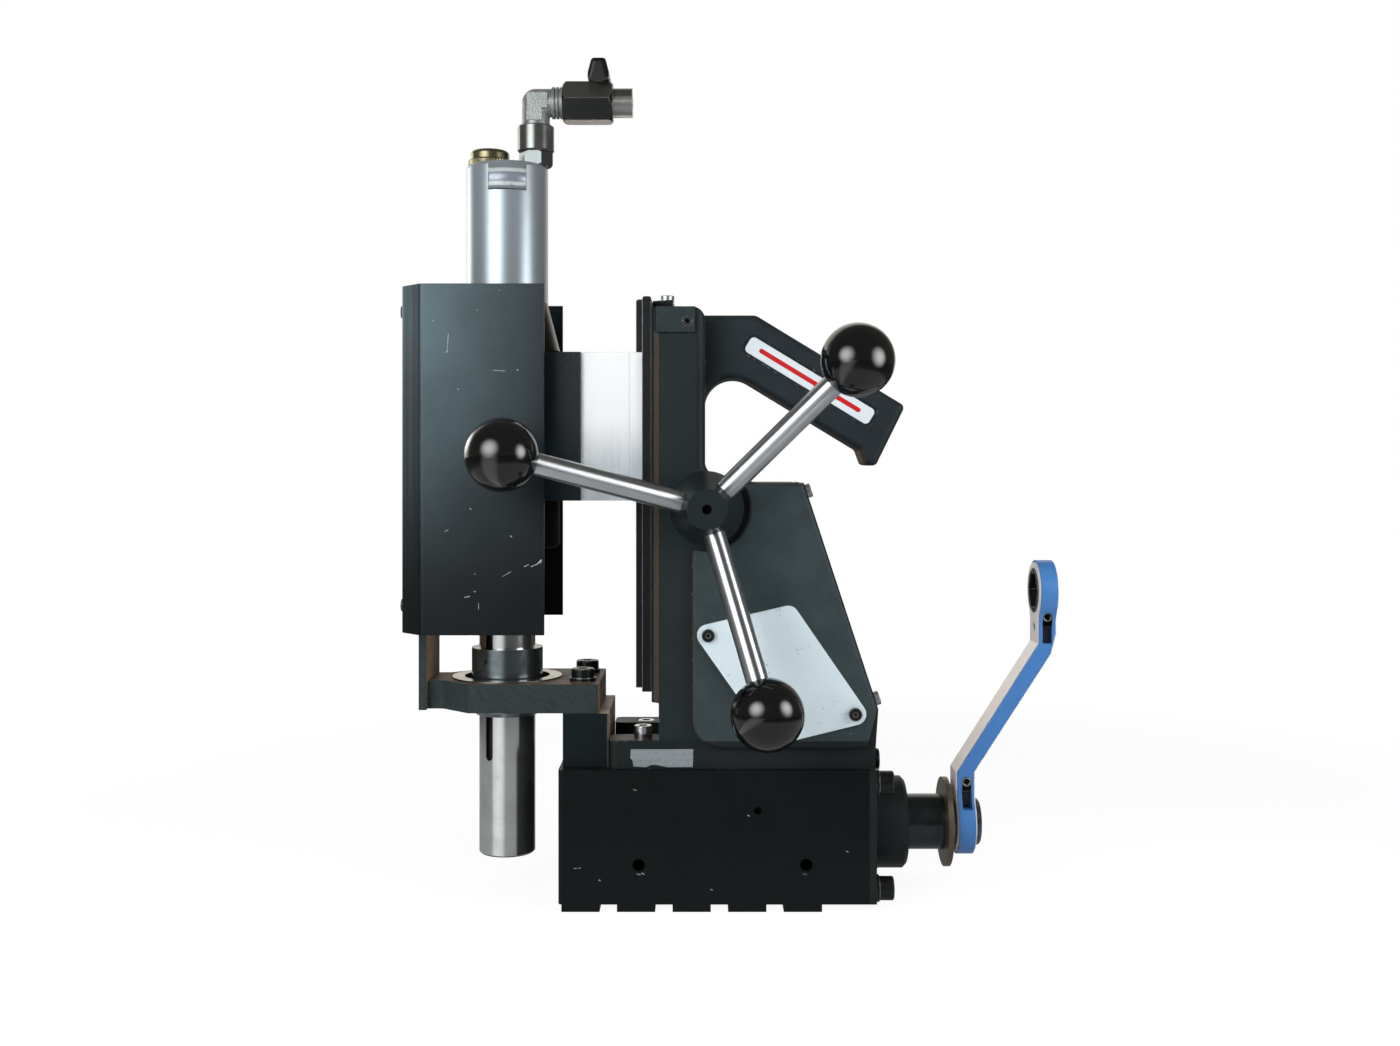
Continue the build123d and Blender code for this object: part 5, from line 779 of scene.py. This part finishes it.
def add_foot_label():
    """Worn foil label with a torn edge on the casting's foot."""
    mesh = plate_mesh("foot_label", FOOT_LABEL, FOOT_LABEL_T, FOOT_LABEL_BEVEL)
    mesh.transform(side_place(0, FOOT_LABEL_Y, 0, 0, -1))
    piece("foot_label", mesh, "foot_label", "base")


def add_motor_label():
    """Foil label wrapped round the motor's near side."""
    low, high = (math.radians(value) for value in MOTOR_LABEL["angles"])
    columns = MOTOR_LABEL["columns"]
    reach = (MOTOR_R + MOTOR_LABEL["gap"]) * MM
    work = bmesh.new()
    rows = []
    for z in MOTOR_LABEL["z"]:
        row = []
        for n in range(columns + 1):
            angle = low + (high - low) * n / columns
            spot = (SPINDLE_X * MM + reach * math.sin(angle), -reach * math.cos(angle), z * MM)
            row.append(work.verts.new(spot))
        rows.append(row)
    for n in range(columns):
        work.faces.new((rows[0][n], rows[0][n + 1], rows[1][n + 1], rows[1][n]))
    mesh = finished("motor_label", work)
    made = piece("motor_label", mesh, "motor_label", "carriage")
    thick = made.modifiers.new("thickness", "SOLIDIFY")
    thick.thickness = MOTOR_LABEL["thick"] * MM
    thick.offset = 1.0
    for face in mesh.polygons:
        face.use_smooth = True


def silencer_profile(rim_r, foot, top):
    """Radius and height of the silencer's outline in mm, from the middle of its top to that of its foot."""
    size = SILENCER
    dome_r = rim_r - size["rim_width"]
    rim_z = foot + size["rim_height"]
    corner, start, steps = size["corner"], size["corner_start"], size["corner_steps"]
    points = [(0.0, top), (dome_r * size["flat_share"], top - size["flat_fall"])]
    for n in range(steps + 1):
        turn = math.radians(start + (90 - start) * n / steps)
        points.append((dome_r - corner * (1 - math.sin(turn)),
                       top - corner * (size["corner_fall"] - math.cos(turn))))
    neck, rim_top, rim_foot = size["neck"], size["rim_top"], size["rim_foot"]
    return points + [(dome_r, rim_z + neck[1]), (dome_r + neck[0], rim_z),
                     (rim_r - rim_top[0], rim_z), (rim_r, rim_z - rim_top[1]),
                     (rim_r, foot + rim_foot[1]), (rim_r - rim_foot[0], foot + size["gap"]),
                     (0.0, foot + size["gap"])]


def add_silencer():
    """Brass dome on a rim cut with fine notches, in place of the plain turned one."""
    low, high = (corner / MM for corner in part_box("silencer"))
    centre = (low + high) / 2
    rim_r = (high.x - low.x) / 2
    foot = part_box("motor_body")[1].z / MM
    steps = KNURL["count"] * KNURL["points"]
    work = bmesh.new()
    rings = []
    for radius, z in silencer_profile(rim_r, foot, high.z):
        if radius == 0.0:
            rings.append([work.verts.new((centre.x * MM, centre.y * MM, z * MM))])
            continue
        notched = radius > rim_r - KNURL["reach"]
        ring = []
        for n in range(steps):
            angle = 2 * math.pi * n / steps
            reach = radius - KNURL["depth"] if notched and n % KNURL["points"] in (0, 1) else radius
            ring.append(work.verts.new(((centre.x + reach * math.cos(angle)) * MM,
                                        (centre.y + reach * math.sin(angle)) * MM, z * MM)))
        rings.append(ring)
    for upper, lower in zip(rings, rings[1:]):
        for n in range(steps):
            following = (n + 1) % steps
            if len(upper) == 1:
                work.faces.new((upper[0], lower[n], lower[following]))
            elif len(lower) == 1:
                work.faces.new((upper[n], lower[0], upper[following]))
            else:
                work.faces.new((upper[n], lower[n], lower[following], upper[following]))
    made = piece("silencer_knurled", finished("silencer_knurled", work), "brass", "carriage")
    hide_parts("silencer")


def direction(azimuth, elevation):
    """Unit vector; azimuth 0 points at the camera side, 90 at +X."""
    turn, rise = math.radians(azimuth), math.radians(elevation)
    return Vector((math.sin(turn) * math.cos(rise), -math.cos(turn) * math.cos(rise), math.sin(rise)))


def add_softbox(name, azimuth, elevation, distance, size, radiance, mirrored=True):
    """Lamp aimed at the object, given by the brightness at its middle, fading towards its rim."""
    lamp = bpy.data.lights.new(name, "AREA")
    lamp.shape = "RECTANGLE"
    lamp.size, lamp.size_y = size
    lamp.energy = radiance * math.pi * size[0] * size[1]
    nodes = Nodes(lamp)
    across = nodes.node("ShaderNodeNewGeometry").outputs["Parametric"]
    fade = nodes.step(nodes.vector("DISTANCE", across, BOX_MIDDLE), *BOX_FADE)
    glow = nodes.node("ShaderNodeEmission", {"Strength": fade})
    nodes.node("ShaderNodeOutputLight", {0: glow.outputs[0]})
    made = shown(bpy.data.objects.new(name, lamp))
    outward = direction(azimuth, elevation)
    made.location = Vector(LIGHT_TARGET) + outward * distance
    made.rotation_euler = outward.to_track_quat("Z", "Y").to_euler()
    made.visible_camera = False
    made.visible_glossy = mirrored


def add_world():
    """White to the camera; polished faces mirror a white backdrop behind the object and a dark studio."""
    world = bpy.data.worlds.new("studio")
    bpy.context.scene.world = world
    nodes = Nodes(world)

    def shade(tone):
        return nodes.node("ShaderNodeBackground", {"Color": (*tone, 1)}).outputs[0]

    camera, mirrored = nodes.rays()
    around = nodes.node("ShaderNodeTexCoord").outputs["Generated"]
    behind = nodes.vector("DOT_PRODUCT", around, direction(BACKDROP_AZIMUTH, 0))
    reflected = nodes.cover(nodes.step(behind, *BACKDROP_EDGE), shade(STUDIO_DARK), shade(BACKDROP))
    plain = nodes.cover(mirrored, shade(AMBIENT), reflected)
    nodes.node("ShaderNodeOutputWorld", {0: nodes.cover(camera, plain, shade(WHITE))})


def add_floor():
    """Pale floor that stays near white to the camera and keeps the object's soft shadow."""
    mesh = bpy.data.meshes.new("floor")
    corners = [(x * FLOOR_HALF, y * FLOOR_HALF, 0) for x, y in ((-1, -1), (1, -1), (1, 1), (-1, 1))]
    mesh.from_pydata(corners, [], [(0, 1, 2, 3)])
    floor = shown(bpy.data.objects.new("floor", mesh))
    made = bpy.data.materials.new("floor_pale")
    mesh.materials.append(made)
    nodes = Nodes(made)
    glow = {name: nodes.node("ShaderNodeEmission", {"Strength": strength}).outputs[0]
            for name, strength in FLOOR_GLOW.items()}
    place = nodes.node("ShaderNodeTexCoord").outputs["Object"]
    away = nodes.vector("DISTANCE", place)
    # Painted light seen only in reflections: the floor glows in a sector towards the left softbox
    bearing = nodes.vector("NORMALIZE", nodes.vector("SUBTRACT", place, (SPINDLE_X * MM, 0, 0)))
    towards = nodes.vector("DOT_PRODUCT", bearing, direction(LIT_AZIMUTH, 0))
    lit = nodes.step(towards, *(math.cos(math.radians(spread)) for spread in LIT_SPREAD))
    table = nodes.cover(nodes.step(away, *TABLE_EDGE), glow["dark"], glow["table"])
    seen = nodes.cover(nodes.step(away, *FLOOR_NEAR), glow["near"], glow["far"])
    camera, mirrored = nodes.rays()
    white = nodes.cover(camera, nodes.cover(lit, table, glow["lit"]), seen)
    share = nodes.times(nodes.math("MAXIMUM", camera, mirrored), FLOOR_SHARE)
    diffuse = nodes.node("ShaderNodeBsdfDiffuse", {"Color": (*FLOOR_TONE, 1)})
    nodes.node("ShaderNodeOutputMaterial", {0: nodes.cover(share, diffuse.outputs[0], white)})


def add_camera():
    """Level camera where the photograph was taken from."""
    lens = bpy.data.cameras.new("camera")
    lens.sensor_width = SENSOR
    lens.lens = SENSOR * FOCAL_PIXELS / IMAGE_WIDTH
    lens.shift_x = (IMAGE_MIDDLE[0] - CENTRE_PIXEL[0]) / IMAGE_WIDTH
    lens.shift_y = -(IMAGE_MIDDLE[1] - CENTRE_PIXEL[1]) / IMAGE_WIDTH
    lens.clip_start = CLIP_START
    made = shown(bpy.data.objects.new("camera", lens))
    made.location = EYE
    made.rotation_euler = (math.pi / 2, 0, 0)
    bpy.context.scene.camera = made


add_badges()
add_foot_label()
add_motor_label()
add_silencer()
for name, box in SOFTBOXES.items():
    add_softbox(name, **box)
add_world()
add_floor()
add_camera()
bpy.context.scene.view_settings.view_transform = "Standard"
